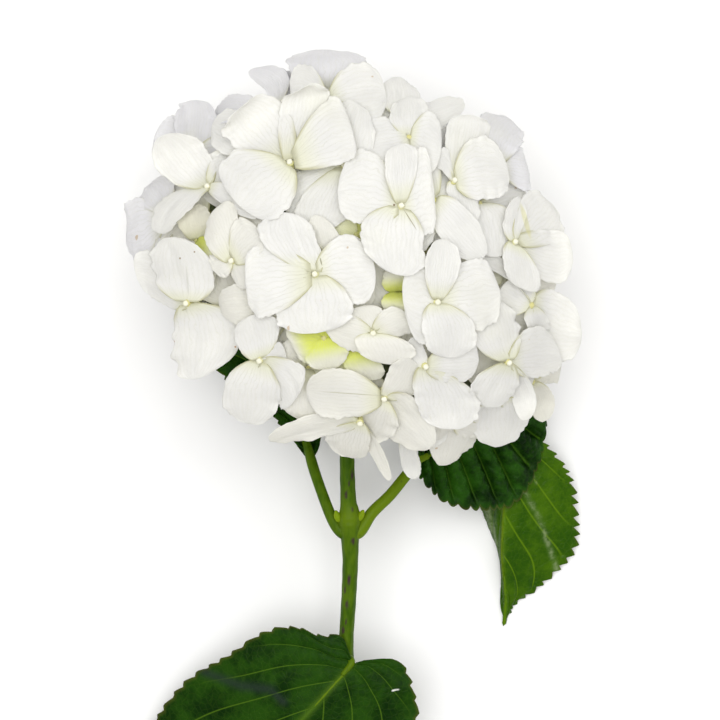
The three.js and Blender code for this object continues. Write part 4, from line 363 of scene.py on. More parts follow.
          ((52, 10.7, 20.1), (44, 23.9, 18.9), (59.9, 13, 33.2)),
          ((32.6, 39.6, 21.4), (40.2, 45.8, 33.7), (41.6, 27.1, 18.8))]),
        ("h13", "w", (61.3, 20.3, 70.2), [((54.1, 26.5, 90.9), (62.9, 13.7, 87.8), (53.8, 35.5, 78)),
          ((69.6, -0.7, 79.2), (71.2, 4.7, 64.1), (63.3, 10.9, 87.8)),
          ((65.9, 14.6, 49.5), (59.8, 27, 53.9), (69.9, 6.6, 61.2)),
          ((53.9, 41.6, 64), (55.5, 36.2, 78.3), (58, 29.6, 55.4))])]),
    ("cymule_04", 5, (33.3, -41.7, 61.2), [
        ("h08", "w", (45.5, -48.9, 34.7), [((55.8, -53.6, 59), (44.7, -60.4, 50.8), (60.3, -44.7, 47.3)),
          ((25.3, -62.4, 40.7), (28.4, -54.9, 27.3), (39.4, -61.8, 48.8)),
          ((32.1, -41.9, 13.7), (46.3, -37.2, 18.8), (28.9, -52.6, 24.2)),
          ((62.7, -30.6, 33), (61.6, -41.9, 44.4), (51.1, -34.1, 22.8))]),
        ("h22", "w", (40.1, -62.2, 64.3), [((52.2, -47.2, 82.5), (40.7, -58.9, 84.2), (56.9, -50.3, 66.7)),
          ((23.5, -67.5, 81), (23.6, -69.6, 66.6), (36.8, -62, 83)),
          ((24.1, -66.6, 48.4), (37, -59, 46.4), (22.6, -69.2, 62.9)),
          ((51.6, -49.8, 47), (57.1, -51.6, 62.2), (39, -59, 45.3))])]),
    ("cymule_08", 4, (-4, -22.6, 29.4), [
        ("h09", "w", (-11.2, -38, 18.5), [((2.6, -55.5, 26.1), (-11.4, -51.6, 29.7), (5.9, -45.4, 15.5)),
          ((-26.8, -45.5, 34.7), (-29.9, -37.6, 22.2), (-13.1, -48.7, 33)),
          ((-30.3, -21.8, 9.2), (-15.5, -24.1, 5), (-31.1, -34.4, 17.8)),
          ((6.7, -28.4, 3.9), (6.4, -41.6, 10.8), (-7.6, -25.9, 3.9))]),
        ("h20", "w", (-1.4, -14.2, 2.4), [((-23.1, -11.2, 3.3), (-13.2, -0.3, 1.9), (-15.2, -24.2, 4.6)),
          ((3, 7.9, 2.5), (13.3, -3.2, 1.6), (-10.6, 1.4, 2.5)),
          ((21.4, -16.8, 4), (10.7, -27, 2.8), (13.9, -4.4, 3.6)),
          ((-5.1, -32.6, 10.9), (-15, -23.3, 6.6), (7.6, -28.8, 5.9))]),
        ("h28", "w", (8.8, -44.3, 18), [((27.6, -53.4, 29.2), (14, -57.5, 28.2), (27.1, -43, 19.9)),
          ((-6.7, -53.9, 31.5), (-8.2, -44, 23.4), (6.7, -56.9, 30.6)),
          ((-9.2, -29.4, 12.4), (4.3, -29.4, 8.2), (-8.3, -39.6, 21.1)),
          ((23.4, -27.1, 8.4), (26.6, -39.6, 15.9), (8.8, -29.6, 7.4))])]),
    ("cymule_03", 0, (-42.8, 4.9, 70.9), [
        ("h10", "w", (-69.1, 17.3, 40.7), [((-77.6, 0.6, 56.9), (-78.1, 16.7, 57.7), (-70.6, -2.6, 43.7)),
          ((-71, 33.5, 58.6), (-66.4, 35.5, 45.4), (-76.4, 20, 57.7)),
          ((-57.2, 34.9, 30.6), (-58.9, 21, 25.5), (-64.3, 34.4, 43.5)),
          ((-60.8, 1.1, 24.3), (-68.8, -1.5, 37.2), (-58.6, 16.9, 24.5))]),
        ("h23", "w", (-66.1, 33.9, 65.4), [((-72.7, 17.2, 82.1), (-65.2, 31.4, 84.8), (-75.9, 16.6, 66.2)),
          ((-53.7, 47.6, 81.7), (-54.4, 48.8, 66), (-62.9, 35.4, 84.8)),
          ((-54.2, 45.5, 49.7), (-63.5, 33.2, 47.1), (-52.5, 47.5, 64.8)),
          ((-72.8, 19.1, 48.8), (-75.4, 17.6, 63.6), (-64.8, 31.8, 47.5))]),
        ("h29", "w", (-67.6, -0.7, 68.1), [((-63.8, -10.6, 87.7), (-68.8, 3.4, 86), (-57.1, -15.1, 74.1)),
          ((-70.9, 20.3, 75.4), (-72.5, 16.2, 60.9), (-71, 8.4, 84.6)),
          ((-72.9, 8.7, 46.9), (-66.3, -5.9, 51.3), (-72.4, 16.2, 60.4)),
          ((-54.9, -17.7, 61.5), (-54.3, -13.9, 74.8), (-62.4, -8, 52.6))])]),
    ("cymule_02", 2, (-10.8, -33.4, 83.7), [
        ("h11", "w", (-25.9, -46.1, 69.9), [((-16, -51.8, 88.7), (-31.5, -48.2, 89.1), (-11.7, -57.4, 75.7)),
          ((-36, -30, 84.8), (-36.1, -32.5, 69.2), (-30.9, -45.4, 88.8)),
          ((-35.2, -39.4, 50.4), (-26.2, -51.2, 51.5), (-35.5, -33, 65.7)),
          ((-9.5, -61.2, 57.1), (-12.8, -61, 72), (-20.6, -51.3, 53))]),
        ("h25", "w", (-32.3, -26.8, 87.2), [((-23.8, -47.7, 87), (-29.6, -43.3, 99.4), (-30.5, -42.1, 76.6)),
          ((-37.7, -25.2, 110.8), (-49.2, -21.7, 99.8), (-31.4, -38.2, 103.6)),
          ((-56.4, -16.7, 83.5), (-53.1, -28.4, 76), (-49.9, -19.9, 96.1))]),
        ("h26", "w", (-10.7, -46.4, 83.8), [((10.1, -55.9, 100), (-5.9, -50.1, 103.5), (7.5, -62.7, 84.4)),
          ((-24.3, -39.5, 103.3), (-28.3, -43.8, 88.2), (-9.5, -45.7, 103)),
          ((-26.9, -42.7, 69.3), (-15.5, -48.3, 67.4), (-27.3, -43, 82.1)),
          ((0.6, -64.2, 64.1), (6, -64.4, 79.1), (-13.4, -57.4, 65.9))])]),
    ("cymule_05", 4, (-16.6, 9.4, 32.3), [
        ("h12", "w", (-14.5, 49.1, 18.8), [((-34.5, 50, 30.7), (-23, 58.5, 30.9), (-31.3, 41.4, 20.5)),
          ((-6, 65.8, 32.3), (0.7, 57, 23.2), (-19.3, 60.9, 31.6)),
          ((7.4, 44, 13.1), (-4.8, 38, 6.9), (2.4, 54.5, 22.1)),
          ((-18.7, 28.8, 6.6), (-28.7, 37.3, 14.7), (-5.4, 36.8, 7.5))]),
        ("h16", "w", (-43.9, 28.9, 20.2), [((-60.9, 26, 35.1), (-53.5, 37.8, 32.5), (-56.4, 17.2, 25.1)),
          ((-33.5, 48, 31.2), (-29.7, 40.1, 20.9), (-46.5, 42.3, 32.5)),
          ((-22.1, 29.5, 8.6), (-33.2, 19.9, 7.7), (-27.8, 38.3, 18.6)),
          ((-47.3, 4.6, 16.4), (-55.1, 14.6, 24.7), (-36.6, 13.6, 11.3))])]),
    ("cymule_12", 1, (15.2, 30.7, 71.7), [
        ("h15", "w", (37.2, 50.7, 74.3), [((17.5, 59.5, 77.3), (25.7, 54.8, 87.5), (25.1, 58.8, 65.5)),
          ((38.1, 42.7, 96.1), (48.8, 41.6, 85.4), (28.7, 52, 89.8)),
          ((54.8, 37.2, 67.1), (48.5, 48.7, 59.8), (50.2, 39.1, 80.9)),
          ((35.4, 51.9, 52.4), (27.1, 57.2, 62.4), (47.2, 47.6, 58.7))]),
        ("h27", "w", (13.9, 58.9, 79.4), [((0.2, 50.9, 95.5), (14.6, 48.8, 93.9), (-4, 61.6, 84.5)),
          ((33.2, 48.4, 87.3), (30.2, 52.9, 73.7), (20.9, 51.4, 94.6)),
          ((26.6, 56.5, 58.4), (11.3, 60.4, 60.5), (31.1, 52.9, 72.6)),
          ((-8, 69.9, 69.6), (-4.2, 67.7, 84.9), (6, 63.1, 62.9))])]),
]


def unit(a):
    a = np.asarray(a, float)
    return a / max(1e-9, float(np.linalg.norm(a)))


def smooth(a, b, x):
    t = np.clip((np.asarray(x, float) - a) / (b - a), 0, 1)
    return t * t * (3 - 2 * t)


# ------------------------------------------------------------------ mesh building
class Build:
    """Collects vertices, faces and per-vertex values for one piece."""

    KEYS = ("s", "v", "tone", "young", "shade", "spot", "seed", "wide")

    def __init__(self):
        self.co, self.faces, self.mat, self.flat = [], [], [], []
        self.val = {k: [] for k in self.KEYS}
        self.n = 0

    def add(self, co, faces, mat, flat=False, **values):
        co = np.asarray(co, float).reshape(-1, 3).copy()
        co[:, 2] = np.maximum(co[:, 2], ORIGIN[2])  # what touches the surface lies flat on it
        base = self.n
        self.co.append(co)
        self.n += len(co)
        for k in self.KEYS:
            x = values.get(k, 0.0)
            self.val[k].append(np.broadcast_to(np.asarray(x, float).reshape(-1) if np.ndim(x) else float(x), (len(co),)))
        if not np.ndim(flat):
            flat = [flat] * len(faces)
        for f, fl in zip(faces, flat):
            self.faces.append([int(i) + base for i in f])
            self.mat.append(mat)
            self.flat.append(bool(fl))

    def finish(self, name, materials, body, nodes):
        co = (np.concatenate(self.co) - ORIGIN) / 1000.0
        me = bpy.data.meshes.new(name)
        me.from_pydata(co.tolist(), [], self.faces)
        for m in materials:
            me.materials.append(m)
        me.polygons.foreach_set("material_index", np.array(self.mat, np.int32))
        me.polygons.foreach_set("use_smooth", ~np.array(self.flat, bool))
        for k in self.KEYS:
            a = me.attributes.new("p_" + k, "FLOAT", "POINT")
            a.data.foreach_set("value", np.concatenate(self.val[k]).astype(np.float32))
        me.validate()
        me.update()
        ob = bpy.data.objects.new(name, me)
        bpy.context.scene.collection.objects.link(ob)
        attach(ob, body)
        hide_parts(*nodes)
        return ob


def grid_faces(nu, nv, close=False):
    """Quads of a grid of nu rows of nv points, joined round where close is true."""
    out = []
    last = nv if close else nv - 1
    for i in range(nu - 1):
        for j in range(last):
            k = (j + 1) % nv
            out.append((i * nv + j, i * nv + k, (i + 1) * nv + k, (i + 1) * nv + j))
    return out


def catmull(points, n):
    """n points on a smooth line through the rows of points, with all their columns."""
    p = np.asarray(points, float)
    p = np.vstack([2 * p[0] - p[1], p, 2 * p[-1] - p[-2]])
    m = len(p) - 3
    u = np.linspace(0, m, n)
    k = np.minimum(u.astype(int), m - 1)
    t = (u - k)[:, None]
    a, b, c, d = p[k], p[k + 1], p[k + 2], p[k + 3]
    return 0.5 * (2 * b + (c - a) * t + (2 * a - 5 * b + 4 * c - d) * t**2 + (3 * b - a - 3 * c + d) * t**3)


def tube(b, path, radius, sides, mat, ridge=0.0, ridges=5, slant=0.0, cap=0.55, end_mat=None, **values):
    """A tube along path with a radius per point, closed at both ends. cap rounds each end by that share of its radius."""
    path, radius = np.asarray(path, float), np.broadcast_to(radius, (len(path),)).astype(float)
    t = np.gradient(path, axis=0)
    t /= np.linalg.norm(t, axis=1)[:, None]
    up = np.array([0, 0, 1.0]) if abs(t[0][2]) < 0.85 else np.array([1.0, 0, 0])
    a = unit(np.cross(up, t[0]))
    frames = []
    for q in t:
        a = unit(a - q * np.dot(a, q))
        frames.append((a, np.cross(q, a)))
    ang = np.arange(sides) * 2 * math.pi / sides
    rows = []
    for i, p in enumerate(path):
        r = radius[i] * (1 + ridge * np.cos(ridges * ang))
        row = p + np.outer(np.cos(ang) * r, frames[i][0]) + np.outer(np.sin(ang) * r, frames[i][1])
        if slant and i == 0:
            row = row - np.outer((row - p)[:, 2] * slant, t[0])
        rows.append(row)
    s = np.linspace(0, 1, len(path))
    ex = {k: x for k, x in values.items()}
    for k, x in list(ex.items()):
        if np.ndim(x) == 1 and len(x) == len(path):
            ex[k] = np.repeat(x, sides)
    ex.setdefault("s", np.repeat(s, sides))
    ex.setdefault("v", np.tile(ang / (2 * math.pi), len(path)))
    b.add(np.concatenate(rows), grid_faces(len(path), sides, True), mat, **ex)
    for end, i, sign in ((0, 0, -1), (1, len(path) - 1, 1)):
        ring = rows[i]
        centre = ring.mean(0)
        inner = centre + (ring - centre) * 0.6 + t[i] * sign * radius[i] * cap * (0.0 if end == 0 and slant else 0.75)
        top = centre + t[i] * sign * radius[i] * cap * (0.0 if end == 0 and slant else 1.0)
        co = np.concatenate([ring, inner, top[None]])
        faces = []
        for j in range(sides):
            k = (j + 1) % sides
            q = [(j, k, sides + k, sides + j), (sides + j, sides + k, 2 * sides)]
            faces += [tuple(reversed(f)) for f in q] if sign < 0 else q
        m = mat if not (end == 0 and end_mat is not None) else end_mat
        vv = {k: (x[i * sides] if np.ndim(x) == 1 and len(x) == len(path) * sides else (x if not np.ndim(x) else 0.0)) for k, x in ex.items()}
        vv["v"] = np.concatenate([np.ones(sides), np.full(sides, 0.6), [0.0]])
        b.add(co, faces, m, flat=(end == 0 and bool(slant)), **vv)


def ball(b, centre, axis, radii, mat, rows=8, cols=14, lobes=0.0, count=4, point=0.0, **values):
    """A rounded body of radii across and along axis, with lobes round it and a pointed end if asked."""
    axis = unit(axis)
    e = unit(np.cross(axis, [0.3, 0.9, 0.2]))
    f = np.cross(axis, e)
    th = np.linspace(0.0, math.pi, rows + 1)[1:-1]
    ph = np.arange(cols) * 2 * math.pi / cols
    co = []
    for q in th:
        k = 1 + lobes * np.cos(count * ph) * math.sin(q)
        z = math.cos(q)
        if point and z > 0:
            z = z + point * z**4
        co.append(centre + np.outer(np.cos(ph) * math.sin(q) * radii[0] * k, e) + np.outer(np.sin(ph) * math.sin(q) * radii[0] * k, f) + axis * z * radii[1])
    n = len(th)
    co = np.concatenate(co + [(centre + axis * radii[1] * (1 + point))[None], (centre - axis * radii[1])[None]])
    faces = [tuple(reversed(q)) for q in grid_faces(n, cols, True)]
    for j in range(cols):
        k = (j + 1) % cols
        faces.append((n * cols, j, k))
        faces.append((n * cols + 1, (n - 1) * cols + k, (n - 1) * cols + j))
    b.add(co, faces, mat, **values)


def sheet(b, mid, normal, thick, mat, tip=None, inner=0.0, **values):
    """A thin closed sheet round the grid mid (nu, nv, 3). tip joins the last row to one point.
    inner is the value of spot on the side away from normal, one number or a grid."""
    nu, nv = mid.shape[:2]
    half = (thick / 2)[..., None]
    top, low = mid + normal * half, mid - normal * half
    n = nu * nv
    co = [top.reshape(-1, 3), low.reshape(-1, 3)]
    faces = grid_faces(nu, nv)
    faces = faces + [tuple(n + i for i in reversed(f)) for f in faces]
    flat = [False] * len(faces)
    vals = {k: np.concatenate([np.broadcast_to(x, (nu, nv)).reshape(-1)] * 2) if np.ndim(x) else x for k, x in values.items()}
    if np.ndim(inner):
        vals["spot"] = np.concatenate([np.zeros(n), inner.reshape(-1)])
    rim = [i * nv for i in range(nu)]
    other = [i * nv + nv - 1 for i in range(nu)]
    edge = []
    edge += [(rim[i], rim[i + 1], n + rim[i + 1], n + rim[i]) for i in range(nu - 1)]
    edge += [(other[i + 1], other[i], n + other[i], n + other[i + 1]) for i in range(nu - 1)]
    edge += [(j + 1, j, n + j, n + j + 1) for j in range(nv - 1)]
    if tip is None:
        last = (nu - 1) * nv
        edge += [(last + j, last + j + 1, n + last + j + 1, n + last + j) for j in range(nv - 1)]
    else:
        last = (nu - 1) * nv
        t = 2 * n
        co.append(np.asarray(tip, float).reshape(1, 3) + normal[-1, nv // 2] * float(thick[-1, nv // 2]) * 0.3)
        co.append(np.asarray(tip, float).reshape(1, 3) - normal[-1, nv // 2] * float(thick[-1, nv // 2]) * 0.3)
        for j in range(nv - 1):
            faces.append((last + j, last + j + 1, t))
            faces.append((n + last + j + 1, n + last + j, t + 1))
            flat += [False, False]
        edge += [(last, t, t + 1, n + last), (t, last + nv - 1, n + last + nv - 1, t + 1)]
        vals = {k: np.concatenate([x, [x[last + nv // 2], x[n + last + nv // 2]]]) if np.ndim(x) else x for k, x in vals.items()}
    b.add(np.concatenate(co), faces + edge, mat, flat=flat + [True] * len(edge), **vals)


def surface_normal(mid):
    du = np.gradient(mid, axis=0)
    dv = np.gradient(mid, axis=1)
    n = np.cross(dv, du)
    return n / np.maximum(1e-9, np.linalg.norm(n, axis=-1))[..., None]


# ------------------------------------------------------------------ sepals and florets
OPEN = {"f01", "f02", "f03", "f04", "f06", "f07", "f08", "f09", "f11", "f19", "f21", "f23", "f24", "f25", "f26", "f30"}
TONE_OF_SEPAL = {("f10", 0): "o", ("f10", 2): "c", ("f39", 0): "p"}
# each tone gives the shares of cream, young green and grey; the grey of g is partly the outer sepals' own lilac grey
# and partly painted shade on sepals turned away from the light
TONES = {"o": (1.0, 0.05, 0.0), "p": (0.5, 0.45, 0.0), "w": (0.0, 0.0, 0.0), "c": (0.42, 0.0, 0.0), "g": (0.0, 0.0, 1.0), "y": (0.5, 1.0, 0.0)}


def outline(s, claw=0.12):
    """Half width of a sepal along its length: a short claw, then nearly round."""
    rise = claw + (1 - claw) * np.sin(math.pi / 2 * np.clip(s / 0.6, 0, 1) ** 0.72)
    fall = np.sqrt(np.maximum(0, 1 - np.clip((s - 0.6) / 0.4, 0, 1) ** 2.3))
    return rise * fall


def wobble(x, seed, n=4):
    """A smooth line of waves, about -1 to 1, different for each seed."""
    r = np.random.default_rng(seed)
    out = 0
    for k in range(1, n + 1):
        out = out + r.normal() / k**0.7 * np.sin(2 * math.pi * (k * np.asarray(x) * 0.9 + r.random()))
    return out / 1.6


def sepal(b, floret, tone, C, q, k, out, front):
    T, A, B = (np.array(p, float) for p in q)
    seed = (zlib_code(floret) * 7 + k * 131) % 1000003
    r = np.random.default_rng(seed)
    nu, nv = (24, 21) if front else (13, 11)
    u = np.linspace(0, 1, nu)
    s = 0.03 + (0.988 - 0.03) * (1 - (1 - u) ** 1.5)
    v = np.sin(np.linspace(-1, 1, nv) * math.pi / 2 * 0.9) / math.sin(math.pi / 2 * 0.9)
    S, Vv = np.meshgrid(s, v, indexing="ij")
    long, wide = float(np.linalg.norm(T - C)), float(np.linalg.norm(A - B))
    w = outline(S, 0.10 + 0.05 * r.random())
    edge_l, edge_r = wobble(S, seed + 1), wobble(S, seed + 2)
    edge = np.where(Vv < 0, edge_r, edge_l)
    scallop = np.sin(2 * math.pi * (S * (6 + 4 * r.random()) + r.random() + 0.35 * edge))
    nibble = np.where(Vv < 0, wobble(S * 5, seed + 7), wobble(S * 5, seed + 8))
    grow = 1 + smooth(0.2, 0.55, S) * np.abs(Vv) ** 3 * (0.046 * edge + 0.020 * scallop + 0.016 * nibble)
    wv = w * Vv * grow
    qq = S * (1 - S) / 0.24
    P = (C[None, None] * (1 - S - 0.4 * qq)[..., None] + T[None, None] * (S - 0.6 * qq)[..., None]
         + A[None, None] * (0.5 * qq + 0.5 * wv)[..., None] + B[None, None] * (0.5 * qq - 0.5 * wv)[..., None])
    N = surface_normal(P)
    flip = 1.0
    if float((N.mean((0, 1)) * out).sum()) < 0:
        flip = -1.0
    N = N * flip
    size = min(long, wide) / 28.0
    x, y = Vv * w, S
    # relief: a groove along the middle and fainter ones beside it
    across = x * wide / 2
    relief = -0.26 * np.exp(-((across / 0.8) ** 2)) * (1 - S) ** 0.4
    fan = 0
    for c in (0.26, 0.50, 0.74):
        for side in (-1, 1):
            bend = side * c * (1 + 0.14 * np.sin(3 * S + r.random() * 6))
            fan = fan + r.uniform(0.4, 1.2) * np.exp(-(((Vv - bend) / 0.06) ** 2))
    relief = relief - 0.20 * fan * smooth(0.06, 0.25, S) * (1 - smooth(0.8, 1.0, S))
    # the blade is cupped or arched, its margin waves, its tip curls, and soft swellings run over it
    relief = relief + size * r.uniform(-1.5, 0.7) * x**2 * smooth(0.05, 0.5, S)
    wave = np.where(Vv < 0, wobble(S * 1.5, seed + 3), wobble(S * 1.5, seed + 4))
    relief = relief + size * (0.95 * np.abs(Vv) ** 2.6 * wave + 0.55 * np.abs(Vv) ** 8 * nibble) * smooth(0.15, 0.6, S)
    around = wobble(np.arctan2(x, y - 0.45) / 6.283 * 1.1 + 0.5, seed + 5)
    relief = relief + size * 0.60 * around * np.clip(np.hypot(x, (y - 0.5) * 1.7), 0, 1.1) ** 2.5
    relief = relief + size * r.uniform(-1.1, 0.45) * smooth(0.7, 1.02, S) ** 1.5
    relief = relief + size * 0.52 * np.sin(2.6 * x + 3.4 * y + r.random() * 6.3) * smooth(0.15, 0.5, S)
    if r.random() < 0.6:
        # a soft crease that runs slantwise over the blade
        c, lean = r.uniform(-0.45, 0.45), r.uniform(-0.6, 0.6)
        d = x - c - lean * (y - 0.5)
        relief = relief + size * r.choice([-0.75, 0.55]) * np.exp(-((d / 0.09) ** 2)) * smooth(0.25, 0.5, S) * (1 - smooth(0.85, 1.0, S))
    # the left edge lies over the next sepal and the right edge under it
    relief = relief + 0.5 * x * np.exp(-(((S - 0.22) / 0.26) ** 2))
    relief = relief * np.clip(S / 0.08, 0, 1)
    mid = P + N * relief[..., None]
    last = mid[-1, nv // 2]
    tip = last + unit(T - mid[-3, nv // 2]) * (0.30 + 0.4 * r.random()) * max(0.5, size)
    n = surface_normal(mid) * flip
    thick = 0.36 * (1 - 0.55 * np.abs(Vv) ** 4) * (1 - 0.35 * S**6) + 0.25 * np.exp(-((S / 0.1) ** 2))
    tn = TONES[tone]
    grid = mid
    values = dict(s=S, v=Vv, tone=tn[0], young=tn[1], shade=tn[2], seed=(seed % 997) / 97.0, wide=wide / 28.0)
    if flip < 0:
        # keep the faces turned outwards
        grid, n = grid[:, ::-1], n[:, ::-1]
        thick = thick[:, ::-1]
        values = {k2: (x2[:, ::-1] if np.ndim(x2) == 2 else x2) for k2, x2 in values.items()}
    inner = 0.0
    if not front and C[2] <= 62:
        # low in the head, the side that faces inwards is deep green, except near the head's outline: partly the inner
        # sepals' own green, partly painted shade that darkens the gaps into the head
        inner = 1 - smooth(0.76, 0.90, np.hypot(grid[..., 0] / 85, grid[..., 1] / 80))
    sheet(b, grid, n, thick, 0, tip=tip, inner=inner, **values)


def zlib_code(text):
    h = 0
    for c in text:
        h = (h * 131 + ord(c)) % 1000003
    return h


def pedicel_path(C, nrm, root, hub, n=12):
    L = float(np.linalg.norm(C - root))
    p1 = C - nrm * L * 0.38
    p2 = root + unit(root - hub) * L * 0.22
    t = np.linspace(0, 1, n)[:, None]
    return (1 - t) ** 3 * C + 3 * (1 - t) ** 2 * t * p1 + 3 * (1 - t) * t**2 * p2 + t**3 * root


def floret(b, name, tone, C, sepals, root, hub, front):
    C, root = np.array(C, float), np.array(root, float)
    out = unit(C - np.array([0, -8.0, 62.0]))
    nrm = np.zeros(3)
    for T, A, B in sepals:
        c = np.cross(np.array(A) - C, np.array(B) - C)
        nrm += c * (1 if float(c @ out) > 0 else -1)
    nrm = unit(unit(nrm) + 0.5 * out)
    for k, q in enumerate(sepals):
        sepal(b, name, TONE_OF_SEPAL.get((name, k), tone), C, q, k, nrm, front)
    bud_size = 1.0 if name in OPEN or not front else 0.42
    ball(b, C + nrm * 0.75 * bud_size, nrm, (1.08 * bud_size, 0.92 * bud_size), 1, lobes=0.07, tone=TONES[tone][0], young=TONES[tone][1], rows=8 if front else 5, cols=16 if front else 8)
    path = pedicel_path(C, nrm, root, hub, 12 if front else 8)
    t = np.linspace(0, 1, len(path))
    rad = 0.62 + 0.75 * np.exp(-((t * np.linalg.norm(C - root) / 2.2) ** 2)) + 0.18 * smooth(0.8, 1, t)
    tube(b, path, rad, 8 if front else 6, 2, young=TONES[tone][1], shade=1 - t)


# ------------------------------------------------------------------ materials
def shader(name):
    m = bpy.data.materials.new(name)
    m.use_nodes = True
    nt = m.node_tree
    nt.nodes.clear()
    return m, nt, nt.nodes.new("ShaderNodeOutputMaterial")


def attr(nt, key):
    n = nt.nodes.new("ShaderNodeAttribute")
    n.attribute_name = "p_" + key
    return n.outputs["Fac"]


def put(nt, socket, x):
    if hasattr(x, "is_linked") or hasattr(x, "links"):
        nt.links.new(x, socket)
    else:
        socket.default_value = x


def math_(nt, op, a, b=None, c=None, clamp=False):
    n = nt.nodes.new("ShaderNodeMath")
    n.operation = op
    n.use_clamp = clamp
    put(nt, n.inputs[0], a)
    if b is not None:
        put(nt, n.inputs[1], b)
    if c is not None:
        put(nt, n.inputs[2], c)
    return n.outputs[0]


def mixc(nt, fac, a, b, kind="MIX"):
    n = nt.nodes.new("ShaderNodeMix")
    n.data_type = "RGBA"
    n.blend_type = kind
    n.clamp_factor = True
    put(nt, n.inputs[0], fac)
    for socket, x in ((n.inputs[6], a), (n.inputs[7], b)):
        if isinstance(x, tuple):
            socket.default_value = (*x, 1.0)
        else:
            nt.links.new(x, socket)
    return n.outputs[2]


def ramp(nt, x, lo, hi, to_lo=0.0, to_hi=1.0, smoothstep=True):
    n = nt.nodes.new("ShaderNodeMapRange")
    n.interpolation_type = "SMOOTHSTEP" if smoothstep else "LINEAR"
    nt.links.new(x, n.inputs[0])
    n.inputs[1].default_value = lo
    n.inputs[2].default_value = hi
    n.inputs[3].default_value = to_lo
    n.inputs[4].default_value = to_hi
    return n.outputs[0]


def noise(nt, scale, detail=2.0, rough=0.5, vector=None, out="Fac", distort=0.0):
    n = nt.nodes.new("ShaderNodeTexNoise")
    n.inputs["Scale"].default_value = scale
    n.inputs["Detail"].default_value = detail
    n.inputs["Roughness"].default_value = rough
    n.inputs["Distortion"].default_value = distort
    if vector is None:
        c = nt.nodes.new("ShaderNodeTexCoord")
        vector = c.outputs["Object"]
    nt.links.new(vector, n.inputs["Vector"])
    return n.outputs[out]


def vec(nt, x, y, z=0.0):
    n = nt.nodes.new("ShaderNodeCombineXYZ")
    put(nt, n.inputs[0], x)
    put(nt, n.inputs[1], y)
    put(nt, n.inputs[2], z)
    return n.outputs[0]


def bump(nt, height, strength, distance, normal=None):
    n = nt.nodes.new("ShaderNodeBump")
    n.inputs["Strength"].default_value = strength
    n.inputs["Distance"].default_value = distance
    nt.links.new(height, n.inputs["Height"])
    if normal is not None:
        nt.links.new(normal, n.inputs["Normal"])
    return n.outputs[0]


def principled(nt, colour, rough, normal=None, specular=0.35, sheen=0.0, coat=0.0, coat_rough=0.2):
    p = nt.nodes.new("ShaderNodeBsdfPrincipled")
    if isinstance(colour, tuple):
        p.inputs["Base Color"].default_value = (*colour, 1.0)
    else:
        nt.links.new(colour, p.inputs["Base Color"])
    put(nt, p.inputs["Roughness"], rough)
    p.inputs["Specular IOR Level"].default_value = specular
    if sheen:
        p.inputs["Sheen Weight"].default_value = sheen
        p.inputs["Sheen Roughness"].default_value = 0.5
    if coat:
        p.inputs["Coat Weight"].default_value = coat
        p.inputs["Coat Roughness"].default_value = coat_rough
    if normal is not None:
        nt.links.new(normal, p.inputs["Normal"])
    return p


def with_light_through(nt, out, p, colour, share, normal=None):
    t = nt.nodes.new("ShaderNodeBsdfTranslucent")
    if isinstance(colour, tuple):
        t.inputs["Color"].default_value = (*colour, 1.0)
    else:
        nt.links.new(colour, t.inputs["Color"])
    if normal is not None:
        nt.links.new(normal, t.inputs["Normal"])
    m = nt.nodes.new("ShaderNodeMixShader")
    m.inputs[0].default_value = share
    nt.links.new(p.outputs[0], m.inputs[1])
    nt.links.new(t.outputs[0], m.inputs[2])
    nt.links.new(m.outputs[0], out.inputs["Surface"])


BLEMISHES_AND_CREASE_SHADE = [(15.1, 18.2, 0.0, 0.5, 0.5, 0.85, (0.2, 0.12, 0.04)),
         (20.8, 12.9, -58.0, 4.91, 0.24, 0.65, (0.3, 0.27, 0.12)),
         (-10.8, -1.9, -76.0, 1.72, 0.28, 0.7, (0.26, 0.24, 0.1)),
         (-0.4, -48.8, -4.0, 11.95, 0.22, 0.45, (0.42, 0.4, 0.2)),
         (-59.2, -8.1, -85.0, 6.67, 0.45, 0.35, (0.62, 0.62, 0.55)),
         (-61.9, -0.1, 0.0, 0.42, 0.42, 0.8, (0.33, 0.22, 0.1)),
         (-56.5, 2.1, 0.0, 0.38, 0.38, 0.8, (0.33, 0.22, 0.1)),
         (-42.0, -32.0, 0.0, 0.45, 0.45, 0.75, (0.55, 0.27, 0.08)),
         (-64.9, -30.1, 0.0, 0.45, 0.45, 0.75, (0.55, 0.27, 0.08)),
         (63.0, 13.6, -73.0, 7.51, 1.2, 0.45, (0.8, 0.78, 0.36))]


